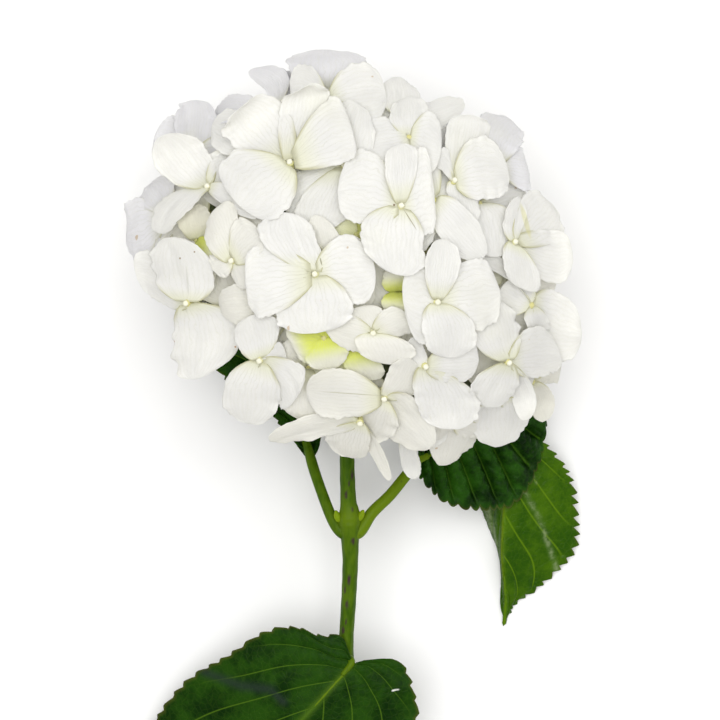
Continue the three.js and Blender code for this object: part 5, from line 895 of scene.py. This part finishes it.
def sepal_material():
    m, nt, out = shader("sepal_white")
    s, v, tone, young, shade, seed, inner = (attr(nt, k) for k in ("s", "v", "tone", "young", "shade", "seed", "spot"))
    # veins fan out from the base: lines of equal v, bent a little by noise that differs for each sepal
    place = vec(nt, math_(nt, "MULTIPLY", s, 2.2), math_(nt, "MULTIPLY", v, 1.6), seed)
    warp = noise(nt, 2.4, 3.0, 0.55, place)
    bent = math_(nt, "ADD", v, math_(nt, "MULTIPLY", math_(nt, "SUBTRACT", warp, 0.5), 0.34))
    fine = math_(nt, "ABSOLUTE", math_(nt, "SUBTRACT", math_(nt, "FRACT", math_(nt, "MULTIPLY", bent, 6.5)), 0.5))
    vein = ramp(nt, fine, 0.0, 0.12, 1.0, 0.0)
    # each vein forks beyond the middle of the sepal
    forked = math_(nt, "ABSOLUTE", math_(nt, "SUBTRACT", math_(nt, "FRACT", math_(nt, "MULTIPLY", bent, 13.0)), 0.5))
    forked = math_(nt, "MULTIPLY", ramp(nt, forked, 0.0, 0.16, 0.7, 0.0), ramp(nt, s, 0.35, 0.6, 0.0, 1.0))
    net = math_(nt, "MULTIPLY", math_(nt, "MAXIMUM", vein, forked), ramp(nt, s, 0.05, 0.7, 1.0, 0.6))
    cloud = noise(nt, 90.0, 4.0, 0.6)
    soft = noise(nt, 28.0, 2.0, 0.5)
    white = mixc(nt, ramp(nt, cloud, 0.3, 0.7), (0.905, 0.905, 0.900), (0.945, 0.945, 0.935))
    # lilac grey for the g sepals: partly their own colour, partly painted shade
    lilac_grey_painted_shade = mixc(nt, ramp(nt, cloud, 0.3, 0.7), (0.865, 0.862, 0.878), (0.905, 0.902, 0.910))
    cream = mixc(nt, ramp(nt, soft, 0.35, 0.65), (0.91, 0.895, 0.80), (0.93, 0.92, 0.86))
    green = mixc(nt, ramp(nt, soft, 0.35, 0.65), (0.83, 0.89, 0.17), (0.90, 0.93, 0.38))
    col = mixc(nt, shade, white, lilac_grey_painted_shade)
    col = mixc(nt, tone, col, cream)
    # a tint of cream and green at the base of every sepal and along its veins
    base = ramp(nt, s, 0.0, 0.36, 0.52, 0.0)
    col = mixc(nt, base, col, (0.86, 0.87, 0.56))
    patch = ramp(nt, soft, 0.55, 0.72, 0.0, 0.22)
    col = mixc(nt, math_(nt, "MULTIPLY", patch, ramp(nt, s, 0.1, 0.9, 1.0, 0.2)), col, (0.90, 0.90, 0.62))
    lively = math_(nt, "MULTIPLY", young, ramp(nt, s, 0.25, 0.85, 1.0, 0.06), clamp=True)
    col = mixc(nt, lively, col, green)
    col = mixc(nt, math_(nt, "MULTIPLY", net, 0.34), col, (0.76, 0.76, 0.64))
    # painted shade: olive creases where neighbouring sepals meet round the bud, and an olive ring of painted shade
    # under it
    painted_crease_shade = math_(nt, "MULTIPLY", ramp(nt, math_(nt, "ABSOLUTE", v), 0.80, 0.97), ramp(nt, s, 0.10, 0.42, 0.62, 0.0))
    painted_crease_shade = math_(nt, "MAXIMUM", painted_crease_shade, ramp(nt, s, 0.045, 0.10, 0.34, 0.0))
    painted_crease_shade = math_(nt, "MULTIPLY", painted_crease_shade, math_(nt, "SUBTRACT", 1.0, math_(nt, "MULTIPLY", young, 0.8)))
    col = mixc(nt, painted_crease_shade, col, (0.50, 0.48, 0.22))
    # small blemishes and painted shade, each a soft oval: x, y, turn, half length and half width in mm, strength,
    # colour; the round dots are brown blemishes, the long thin grey and olive lines painted shadows in creases
    place = nt.nodes.new("ShaderNodeTexCoord").outputs["Object"]
    for x, y, turn, long, wide, strength, tint in BLEMISHES_AND_CREASE_SHADE:
        m1 = nt.nodes.new("ShaderNodeMapping")
        m1.inputs["Location"].default_value = (-(x - ORIGIN[0]) / 1000, -(y - ORIGIN[1]) / 1000, 0.0)
        m1.inputs["Scale"].default_value = (1.0, 1.0, 0.0)
        nt.links.new(place, m1.inputs["Vector"])
        m2 = nt.nodes.new("ShaderNodeMapping")
        m2.inputs["Rotation"].default_value = (0.0, 0.0, -math.radians(turn))
        nt.links.new(m1.outputs[0], m2.inputs["Vector"])
        m3 = nt.nodes.new("ShaderNodeMapping")
        m3.inputs["Scale"].default_value = (1000 / long, 1000 / wide, 0.0)
        nt.links.new(m2.outputs[0], m3.inputs["Vector"])
        far = nt.nodes.new("ShaderNodeVectorMath")
        far.operation = "LENGTH"
        nt.links.new(m3.outputs[0], far.inputs[0])
        col = mixc(nt, ramp(nt, far.outputs["Value"], 0.55, 1.05, strength, 0.0), col, tint)
    # a few tan specks
    speck = noise(nt, 210.0, 1.0, 0.4)
    col = mixc(nt, ramp(nt, speck, 0.795, 0.825, 0.0, 0.6), col, (0.60, 0.42, 0.20))
    # the side that faces into the head, low in it, is deep green: partly the sepals' own green, partly painted shade
    # that darkens the gaps
    col = mixc(nt, math_(nt, "MULTIPLY", inner, 0.90), col, (0.15, 0.19, 0.055))
    height = math_(nt, "ADD", math_(nt, "MULTIPLY", net, -0.6), math_(nt, "MULTIPLY", noise(nt, 420.0, 3.0, 0.6), 0.5))
    normal = bump(nt, height, 0.5, 0.00032)
    p = principled(nt, col, ramp(nt, cloud, 0.3, 0.7, 0.50, 0.62), normal, specular=0.3, sheen=0.15)
    through = mixc(nt, 1.0, col, mixc(nt, shade, (1.0, 0.985, 0.90), (0.95, 0.95, 0.97)), "MULTIPLY")
    with_light_through(nt, out, p, through, 0.32, normal)
    return m


def boss_material():
    m, nt, out = shader("floret_bud_cream")
    young = attr(nt, "young")
    grain = noise(nt, 900.0, 3.0, 0.6)
    col = mixc(nt, ramp(nt, grain, 0.35, 0.65), (0.79, 0.78, 0.60), (0.86, 0.85, 0.72))
    col = mixc(nt, math_(nt, "MULTIPLY", young, 0.5), col, (0.66, 0.74, 0.22))
    p = principled(nt, col, 0.55, bump(nt, grain, 0.3, 0.0002), specular=0.2)
    nt.links.new(p.outputs[0], out.inputs["Surface"])
    return m


def stalk_material(name, light, dark, deep, specular=0.4):
    m, nt, out = shader(name)
    s, shade = attr(nt, "s"), attr(nt, "shade")
    stretch = nt.nodes.new("ShaderNodeMapping")
    c = nt.nodes.new("ShaderNodeTexCoord")
    nt.links.new(c.outputs["Object"], stretch.inputs["Vector"])
    stretch.inputs["Scale"].default_value = (1.0, 0.25, 1.0)
    grain = noise(nt, 420.0, 3.0, 0.6, stretch.outputs[0])
    blot = noise(nt, 60.0, 3.0, 0.6)
    col = mixc(nt, ramp(nt, grain, 0.3, 0.7), dark, light)
    col = mixc(nt, ramp(nt, blot, 0.45, 0.75, 0.0, 0.55), col, deep)
    p = principled(nt, col, ramp(nt, grain, 0.3, 0.7, 0.42, 0.55), bump(nt, grain, 0.25, 0.0003), specular=specular)
    nt.links.new(p.outputs[0], out.inputs["Surface"])
    return m


def stem_material():
    m, nt, out = shader("stem_green")
    s, v, spot, shade = (attr(nt, k) for k in ("s", "v", "spot", "shade"))
    stretch = nt.nodes.new("ShaderNodeMapping")
    c = nt.nodes.new("ShaderNodeTexCoord")
    nt.links.new(c.outputs["Object"], stretch.inputs["Vector"])
    stretch.inputs["Scale"].default_value = (1.0, 0.12, 1.0)
    grain = noise(nt, 520.0, 4.0, 0.6, stretch.outputs[0])
    blot = noise(nt, 70.0, 3.0, 0.6)
    speck = noise(nt, 330.0, 2.0, 0.5)
    col = mixc(nt, ramp(nt, grain, 0.3, 0.7), (0.030, 0.078, 0.001), (0.068, 0.132, 0.003))
    col = mixc(nt, ramp(nt, blot, 0.4, 0.7, 0.0, 0.6), col, (0.085, 0.148, 0.004))
    # lighter green where shade is high: at the nodes, the hub and the midribs, and painted light on the petioles,
    # lightest on the lit right one and darkest on the left one in the head's shadow
    col = mixc(nt, shade, col, (0.110, 0.180, 0.004))
    col = mixc(nt, ramp(nt, speck, 0.68, 0.74, 0.0, 0.30), col, (0.05, 0.050, 0.012))
    mark = math_(nt, "MULTIPLY", spot, ramp(nt, speck, 0.30, 0.55, 0.55, 1.0), clamp=True)
    col = mixc(nt, mark, col, (0.042, 0.022, 0.026))
    height = math_(nt, "ADD", math_(nt, "MULTIPLY", grain, 0.8), math_(nt, "MULTIPLY", spot, 0.6))
    p = principled(nt, col, ramp(nt, grain, 0.3, 0.7, 0.34, 0.5), bump(nt, height, 0.35, 0.0004), specular=0.07)
    nt.links.new(p.outputs[0], out.inputs["Surface"])
    return m


def pith_material():
    m, nt, out = shader("stem_cut_face")
    v = attr(nt, "v")
    grain = noise(nt, 900.0, 3.0, 0.6)
    col = mixc(nt, ramp(nt, v, 0.45, 0.75), (0.72, 0.70, 0.50), (0.45, 0.50, 0.20))
    col = mixc(nt, ramp(nt, grain, 0.4, 0.65, 0.0, 0.45), col, (0.55, 0.48, 0.28))
    p = principled(nt, col, 0.7, bump(nt, grain, 0.4, 0.0003), specular=0.3)
    nt.links.new(p.outputs[0], out.inputs["Surface"])
    return m


def leaf_material(name, dark, light, vein_colour, rough_lo, rough_hi, specular, through, line):
    m, nt, out = shader(name)
    s, v, spot, shade, tone, hole, painted_highlight, order = (attr(nt, k) for k in ("s", "v", "spot", "shade", "tone", "young", "seed", "wide"))
    # order counts the side veins, with a whole number on each, and line is a vein's half width in that count;
    # spot is how near a point is to the midrib, shade how near to the margin's worn tips,
    # tone a painted shadow along a fold, hole a bleached nick, and seed a painted highlight streak along a crease
    cells = nt.nodes.new("ShaderNodeTexVoronoi")
    c = nt.nodes.new("ShaderNodeTexCoord")
    nt.links.new(c.outputs["Object"], cells.inputs["Vector"])
    cells.feature = "DISTANCE_TO_EDGE"
    cells.inputs["Scale"].default_value = 420.0
    lines = ramp(nt, cells.outputs["Distance"], 0.0, 0.10, 1.0, 0.0)
    blot = noise(nt, 85.0, 4.0, 0.65)
    fine = noise(nt, 700.0, 3.0, 0.6)
    col = mixc(nt, ramp(nt, blot, 0.32, 0.68), dark, light)
    col = mixc(nt, math_(nt, "MULTIPLY", lines, 0.09), col, vein_colour)
    far = math_(nt, "SUBTRACT", 0.5, math_(nt, "ABSOLUTE", math_(nt, "SUBTRACT", math_(nt, "FRACT", order), 0.5)))
    rib = math_(nt, "MULTIPLY", ramp(nt, far, line * 0.2, line * 1.25, 1.0, 0.0), ramp(nt, math_(nt, "ABSOLUTE", v), 0.70, 0.97, 1.0, 0.0))
    rib = math_(nt, "MULTIPLY", rib, ramp(nt, s, 0.0, 0.03))
    col = mixc(nt, math_(nt, "MULTIPLY", math_(nt, "MAXIMUM", spot, rib), 0.75, clamp=True), col, vein_colour)
    col = mixc(nt, math_(nt, "MULTIPLY", shade, 0.5, clamp=True), col, (0.20, 0.17, 0.04))
    # painted shadow: a dark band along a fold of the blade
    col = mixc(nt, math_(nt, "MULTIPLY", tone, 0.65, clamp=True), col, (0.020, 0.030, 0.026))
    # painted highlight: lighter streaks where light glints along the creases
    painted_highlight_streak = math_(nt, "MULTIPLY", painted_highlight, ramp(nt, noise(nt, 260.0, 4.0, 0.7), 0.40, 0.62, 0.15, 0.9), clamp=True)
    col = mixc(nt, painted_highlight_streak, col, (0.22, 0.29, 0.13))
    col = mixc(nt, hole, col, (0.80, 0.80, 0.76))
    height = math_(nt, "SUBTRACT", math_(nt, "MULTIPLY", fine, 0.35), math_(nt, "MULTIPLY", lines, 0.8))
    normal = bump(nt, height, 0.30, 0.00030)
    p = principled(nt, col, ramp(nt, blot, 0.3, 0.7, rough_lo, rough_hi), normal, specular=specular)
    with_light_through(nt, out, p, mixc(nt, 0.5, col, (0.18, 0.34, 0.005)), through, normal)
    return m


SEPAL = sepal_material()
BOSS = boss_material()
PEDICEL = stalk_material("pedicel_cream_green", (0.70, 0.68, 0.34), (0.60, 0.56, 0.22), (0.44, 0.46, 0.14))
BRANCH = stalk_material("flower_stalk_green", (0.48, 0.54, 0.20), (0.36, 0.44, 0.13), (0.26, 0.34, 0.08))
STEM_GREEN = stem_material()
PITH = pith_material()
LEAF_DARK = leaf_material("leaf_dark_green", (0.003, 0.019, 0.001), (0.014, 0.056, 0.002), (0.070, 0.145, 0.008), 0.34, 0.50, 0.05, 0.04, 0.030)
LEAF_PUCKERED = leaf_material("leaf_puckered_green", (0.002, 0.013, 0.001), (0.019, 0.080, 0.004), (0.050, 0.120, 0.008), 0.34, 0.50, 0.06, 0.04, 0.070)
LEAF_SHADED = leaf_material("leaf_shaded_green", (0.003, 0.019, 0.001), (0.014, 0.060, 0.002), (0.070, 0.145, 0.008), 0.34, 0.50, 0.05, 0.04, 0.042)
LEAF_MID = leaf_material("leaf_mid_green", (0.020, 0.074, 0.001), (0.054, 0.134, 0.001), (0.12, 0.23, 0.004), 0.22, 0.36, 0.09, 0.12, 0.048)

# ------------------------------------------------------------------ stem, buds and branches
def rings(table, n):
    c = catmull(table, n)
    return c[:, :3], np.maximum(0.3, c[:, 3])


SPOTS = [(-0.0, -80.4, 0.8), (-2.3, -88.0, 0.7), (-0.0, -93.8, 0.5), (0.3, -105.7, 0.7), (-1.2, -120.8, 0.9), (-2.7, -124.7, 0.6), (-2.0, -130.5, 0.8), (-3.5, -140.3, 0.7), (-2.4, -137.1, 0.5), (-1.2, -83.8, 0.4), (-5.5, -287.4, 0.6), (-5.8, -273.6, 0.6), (-2.7, -255.2, 0.9), (-5.4, -242.8, 0.6), (-5.5, -231.4, 0.5), (-2.3, -213.0, 0.9), (-2.7, -202.8, 0.6), (-3.2, -185.6, 0.9), (-1.9, -175.5, 0.8)]


def stem():
    b = Build()
    path, rad = rings(STEM, 300)
    # raised rings just above and below each node, where leaf scars meet round the stem
    y = path[:, 1]
    for c, amp in ((-99.0, 0.20), (-96.4, 0.14), (-152.0, 0.14), (-154.6, 0.10)):
        rad = rad + amp * np.exp(-(((y - c) / 0.8) ** 2))
    rad = rad * (1 + 0.012 * np.sin(y * 0.9) + 0.008 * np.sin(y * 0.37 + 1))
    sides = 32
    spot = np.zeros((len(path), sides))
    ang = np.arange(sides) * 2 * math.pi / sides
    t = np.gradient(path, axis=0)
    t /= np.linalg.norm(t, axis=1)[:, None]
    a = unit(np.cross([0, 0, 1.0], t[0]))
    for i, q in enumerate(t):
        a = unit(a - q * np.dot(a, q))
        f = np.cross(q, a)
        pts = path[i] + np.outer(np.cos(ang) * rad[i], a) + np.outer(np.sin(ang) * rad[i], f)
        for x0, y0, rr in SPOTS:
            d = np.sqrt(((pts[:, 0] - x0) / 0.75) ** 2 + ((pts[:, 1] - y0) / 2.3) ** 2)
            spot[i] = np.maximum(spot[i], (1 - smooth(rr * 0.6, rr * 1.25, d)) * (pts[:, 2] > path[i][2] - 0.5))
    shade = 0.75 * np.exp(-(((y + 96) / 3.5) ** 2)) + 0.4 * np.exp(-(((y + 153) / 4) ** 2))
    tube(b, path, rad, sides, 0, ridge=0.018, ridges=6, slant=0.55, end_mat=1,
         spot=spot.reshape(-1), shade=np.repeat(shade, sides))
    ball(b, HUB, [0, 1, 0.3], (4.1, 4.4), 0, rows=12, cols=20, lobes=0.06, count=6, shade=0.8)
    b.finish("stem", [STEM_GREEN, PITH], "root", ["stem"])


def bud(name, x, y, z, lean):
    b = Build()
    axis = np.array([-math.sin(lean), math.cos(lean), 0.12])
    c = np.array([x, y, z])
    ball(b, c, axis, (1.25, 2.2), 0, rows=12, cols=16, point=0.20, shade=0.6)
    side = unit(np.cross(axis, [0, 0, 1]))
    for k in (-1, 1):
        ball(b, c - axis * 0.6 + side * 0.45 * k, unit(axis + side * 0.18 * k), (0.95, 1.7), 0, rows=10, cols=12, point=0.3, shade=0.25)
    b.finish(name, [LEAF_BUD], "root", [name])


LEAF_BUD = stalk_material("side_bud_green", (0.25, 0.33, 0.010), (0.17, 0.26, 0.006), (0.09, 0.14, 0.004), 0.06)


def branch(k):
    b = Build()
    end = np.array(KNOBS[k], float)
    L = float(np.linalg.norm(end - HUB))
    d = unit(end - HUB)
    side = unit(np.cross(d, [0.2, 0.1, 1.0]))
    t = np.linspace(0, 1, 16)
    start = HUB + d * 3.0
    path = start + np.outer(t, end - start) + np.outer(np.sin(t * math.pi), side) * L * 0.03
    rad = 1.55 + 0.7 * np.exp(-((t / 0.12) ** 2)) + 0.9 * smooth(0.8, 1.0, t)
    tube(b, path, rad, 14, 0, ridge=0.05, ridges=5)
    ball(b, end, d, (3.5, 3.3), 0, rows=10, cols=18, lobes=0.10, count=5)
    b.finish("head_branch_%d" % (k + 1), [BRANCH], "root", ["head_branch_%d" % (k + 1)])


# ------------------------------------------------------------------ leaves
def leaf(name, material, veins, teeth, tooth, puff, spine_width=1.15, rounded=False, marks=(), bare=0.12, petiole_painted_light=0.5, nu=250, nv=85):
    """veins: how many side veins, how far they lean to the tip, how much they arch. tooth: height for each margin."""
    b = Build()
    mid, left, right = (catmull(line, nu) for line in LEAVES[name])
    s = np.linspace(0, 1, nu)
    keep = (s >= 0.012) & (s <= 0.985)
    mid, left, right, s = mid[keep], left[keep], right[keep], s[keep]
    nu = len(s)
    v = np.linspace(-1, 1, nv)
    v = np.sign(v) * np.abs(v) ** 0.92
    S, Vv = np.meshgrid(s, v, indexing="ij")
    aV = np.abs(Vv)
    # saw-toothed margin: each tooth leans towards the tip
    r = np.random.default_rng(zlib_code(name))
    saw = np.zeros_like(S)
    for k, line in enumerate((left, right)):
        seg = np.concatenate([[0], np.cumsum(np.linalg.norm(np.diff(line, axis=0), axis=1))])
        n = seg / teeth
        jitter = 0.18 * np.interp(n, np.arange(0, n.max() + 2), r.normal(size=int(n.max()) + 3)[: len(np.arange(0, n.max() + 2))])
        x = (n + jitter) % 1.0
        one = np.sin(math.pi * x) ** 0.7 if rounded else np.where(x < 0.72, x / 0.72, (1 - x) / 0.28) ** 0.85
        env = smooth(0.3 * bare, bare, s) * (1 - 0.6 * smooth(0.93, 1.0, s))
        height = tooth[k] * (0.85 + 0.3 * np.interp(n, np.arange(0, n.max() + 2), r.random(int(n.max()) + 3)[: len(np.arange(0, n.max() + 2))]))
        col = (one - 0.55) * height * env
        mask = (Vv < 0) if k == 0 else (Vv >= 0)
        saw = np.where(mask, np.broadcast_to(col[:, None], S.shape), saw)
    edge = np.where((Vv < 0)[..., None], left[:, None, :], right[:, None, :])
    centre = mid[:, None, :]
    span = edge - centre
    width = np.linalg.norm(span, axis=-1)
    push = saw / np.maximum(width, 1.0) * smooth(0.80, 1.0, aV)
    P = centre + span * (aV * (1 + push))[..., None]
    N = surface_normal(P)
    if float(N[nu // 2, nv // 2 + 3][2]) < 0:
        N = -N
        flip = -1
    else:
        flip = 1
    # side veins leave the midrib and arch towards the tip
    n_v, slope, arch = veins
    c = S - slope * aV + arch * aV**2
    phase = np.where(Vv < 0, 0.0, 0.37)
    f = (c * n_v + phase) % 1.0
    dist = np.minimum(f, 1 - f) / n_v * 0.5  # in s
    total = float(np.linalg.norm(np.diff(mid, axis=0), axis=1).sum())
    dist_mm = dist * 2 * total * 0.85
    rib = np.exp(-((dist_mm / 1.15) ** 2)) * (1 - smooth(0.80, 0.98, aV)) * smooth(0.0, 0.02, c + 0.03)
    across = aV * width
    spine = np.exp(-((across / (spine_width - 0.5 * S)) ** 2))
    tert = np.sin(aV * width * 1.35 + 3 * np.sin(S * 40)) * np.sin(f * 2 * math.pi)
    bulge = np.sin(np.clip(f, 0, 1) * math.pi) ** 0.8
    relief = puff * (bulge - 0.5) * smooth(0.02, 0.25, aV) * (1 - 0.7 * smooth(0.75, 1.0, aV)) - 0.42 * puff * rib - 0.5 * spine
    relief = relief + 0.16 * puff * tert * (1 - smooth(0.7, 1.0, aV))
    relief = relief + 0.7 * smooth(0.6, 1.0, aV) * np.where(Vv < 0, wobble(S * 2.2, zlib_code(name) + 5), wobble(S * 2.2, zlib_code(name) + 6))
    grid = P + N * relief[..., None]
    n = surface_normal(grid)
    if flip < 0:
        n = -n
    thick = 0.42 - 0.16 * aV + 0.5 * spine * (1 - 0.6 * S)
    near = spine
    wear = smooth(0.965, 1.0, aV) * 0.6
    # marks laid along given lines: painted highlight streaks, painted shadows along folds, and bleached nicks
    painted_fold_shadow, nick, painted_highlight = np.zeros_like(S), np.zeros_like(S), np.zeros_like(S)
    for kind, a0, b0, size in marks:
        a0, b0 = np.array(a0, float), np.array(b0, float)
        d = grid[..., :2] - a0
        t = np.clip((d @ (b0 - a0)) / max(1e-9, float((b0 - a0) @ (b0 - a0))), 0, 1)
        far = np.linalg.norm(d - t[..., None] * (b0 - a0), axis=-1)
        if kind == "painted_highlight":
            painted_highlight = np.maximum(painted_highlight, np.exp(-((far / size) ** 2)))
        elif kind == "painted_fold_shadow":
            painted_fold_shadow = np.maximum(painted_fold_shadow, np.exp(-((far / size) ** 2)))
        else:
            nick = np.maximum(nick, 1 - smooth(size * 0.6, size * 1.3, far))
    values = dict(s=S, v=Vv, spot=near, shade=wear, tone=painted_fold_shadow, young=nick, seed=painted_highlight, wide=c * n_v + phase)
    tip = catmull(LEAVES[name][0], 132)[-1]
    if flip < 0:
        grid, n, thick = grid[:, ::-1], n[:, ::-1], thick[:, ::-1]
        values = {k: x[:, ::-1] for k, x in values.items()}
    sheet(b, grid, n, thick, 0, tip=tip, **values)
    # the midrib stands out under the blade
    under = mid - N[:, nv // 2] * 0.75
    rad = np.interp(s, [0, 0.1, 0.6, 1], [1.0, 0.9, 0.5, 0.22])
    tube(b, under[::2], rad[::2], 10, 1, shade=0.8)
    # the petiole takes painted light: lighter or darker by how much light falls on it
    path, rad = rings(PETIOLES[name], 40)
    tube(b, path, rad, 18, 1, ridge=0.04, ridges=2, shade=petiole_painted_light, spot=0.0)
    b.finish(name, [material, STEM_GREEN], "root", [name])


# ------------------------------------------------------------------ put together
stem()
bud("bud_left", -5.5, -96.4, 46.9, 0.35)
bud("bud_right", 3.2, -96.1, 47.0, -0.5)
for k in range(len(KNOBS)):
    branch(k)
# the last number sets painted light on each petiole: dark for the left one, in the head's shadow, light for the lit
# right one
leaf("leaf_left", LEAF_SHADED, (8, 0.30, 0.06), 5.0, (1.5, 1.5), 0.9, bare=0.30, petiole_painted_light=0.05)
leaf("leaf_right", LEAF_PUCKERED, (10, 0.16, 0.05), 4.4, (2.1, 2.1), 2.6, rounded=True, petiole_painted_light=1.0)
# the rear leaf gets painted highlights along its creases
leaf("leaf_rear", LEAF_MID, (7, 0.42, 0.08), 4.3, (2.9, 0.5), 0.6, bare=0.2,
     marks=(('painted_highlight', (65.0, -83.7), (73.5, -99.0), 0.9), ('painted_highlight', (73.5, -99.0), (81.2, -121.2), 0.9), ('painted_highlight', (53.0, -93.0), (57.1, -114.6), 1.6), ('painted_highlight', (70.1, -81.0), (72.3, -85.0), 0.5)))
# the lower leaf gets a painted shadow along a fold and a bleached nick
leaf("leaf_lower", LEAF_DARK, (7, 0.52, 0.04), 6.4, (1.5, 1.5), 0.6, spine_width=1.5, bare=0.2,
     marks=(('painted_fold_shadow', (-57.2, -158.0), (-43.0, -162.6), 1.9), ('painted_fold_shadow', (-43.0, -162.6), (-31.5, -163.6), 2.0), ('painted_fold_shadow', (-31.5, -163.6), (-26.5, -168.2), 1.6), ('nick', (15.3, -163.6), (17.9, -163.0), 0.28)))
for node, ray, fork, members in FLORETS:
    b = Build()
    root = np.array(fork if fork else KNOBS[ray], float)
    origin = np.array(KNOBS[ray], float) if fork else HUB
    if fork:
        ball(b, root, unit(root - origin), (1.55, 1.7), 3, rows=8, cols=12, lobes=0.08, count=3)
        t = np.linspace(0, 1, 12)
        side = unit(np.cross(root - origin, [0.3, 0.5, 0.8]))
        line = root + np.outer(t, origin - root) + np.outer(np.sin(t * math.pi), side) * 1.2
        tube(b, line, 0.95 + 0.35 * np.exp(-((t / 0.12) ** 2)) + 0.3 * smooth(0.85, 1, t), 10, 3)
    for name, tone, C, sepals in members:
        floret(b, name, tone, C, sepals, root, origin, name[0] in "fm")
    b.finish(node, [SEPAL, BOSS, PEDICEL, BRANCH], "root", [node])


# ------------------------------------------------------------------ floor, light and camera
def floor():
    me = bpy.data.meshes.new("floor")
    a = 3.0
    me.from_pydata([(-a, -a, 0), (a, -a, 0), (a, a, 0), (-a, a, 0)], [], [(0, 1, 2, 3)])
    ob = bpy.data.objects.new("floor", me)
    bpy.context.scene.collection.objects.link(ob)
    m, nt, out = shader("floor_white")
    p = principled(nt, mixc(nt, noise(nt, 3.0), (0.955, 0.955, 0.955), (0.965, 0.965, 0.965)), 0.9, specular=0.1)
    nt.links.new(p.outputs[0], out.inputs["Surface"])
    me.materials.append(m)


floor()


def area(name, where, size, power, aim=(0.0, 0.08, 0.05), colour=(1, 1, 1)):
    la = bpy.data.lights.new(name, "AREA")
    la.shape = "DISK"
    la.size = size
    la.energy = power
    la.color = colour
    ob = bpy.data.objects.new(name, la)
    bpy.context.scene.collection.objects.link(ob)
    ob.location = where
    ob.rotation_euler = (Vector(aim) - Vector(where)).to_track_quat("-Z", "Y").to_euler()
    return ob


area("key", (-0.20, 0.14, 2.3), 1.9, 36.2)
area("fill", (0.9, 0.8, 1.6), 1.6, 7.4)
world = bpy.data.worlds.new("studio")
bpy.context.scene.world = world
world.use_nodes = True
world.node_tree.nodes["Background"].inputs[0].default_value = (1.0, 0.985, 0.962, 1.0)
world.node_tree.nodes["Background"].inputs[1].default_value = 0.56

cam_data = bpy.data.cameras.new("camera")
cam = bpy.data.objects.new("camera", cam_data)
bpy.context.scene.collection.objects.link(cam)
cam_data.sensor_width = 36.0
cam_data.lens = 160.0
cam_data.clip_start = 0.01
cam_data.clip_end = 20.0
cam.location = ((3.0 - ORIGIN[0]) / 1000, (-36.75 - ORIGIN[1]) / 1000, (1266.0 - ORIGIN[2]) / 1000)
cam.rotation_euler = (0, 0, 0)
bpy.context.scene.camera = cam
bpy.context.scene.view_settings.view_transform = "Standard"
bpy.context.scene.view_settings.look = "None"
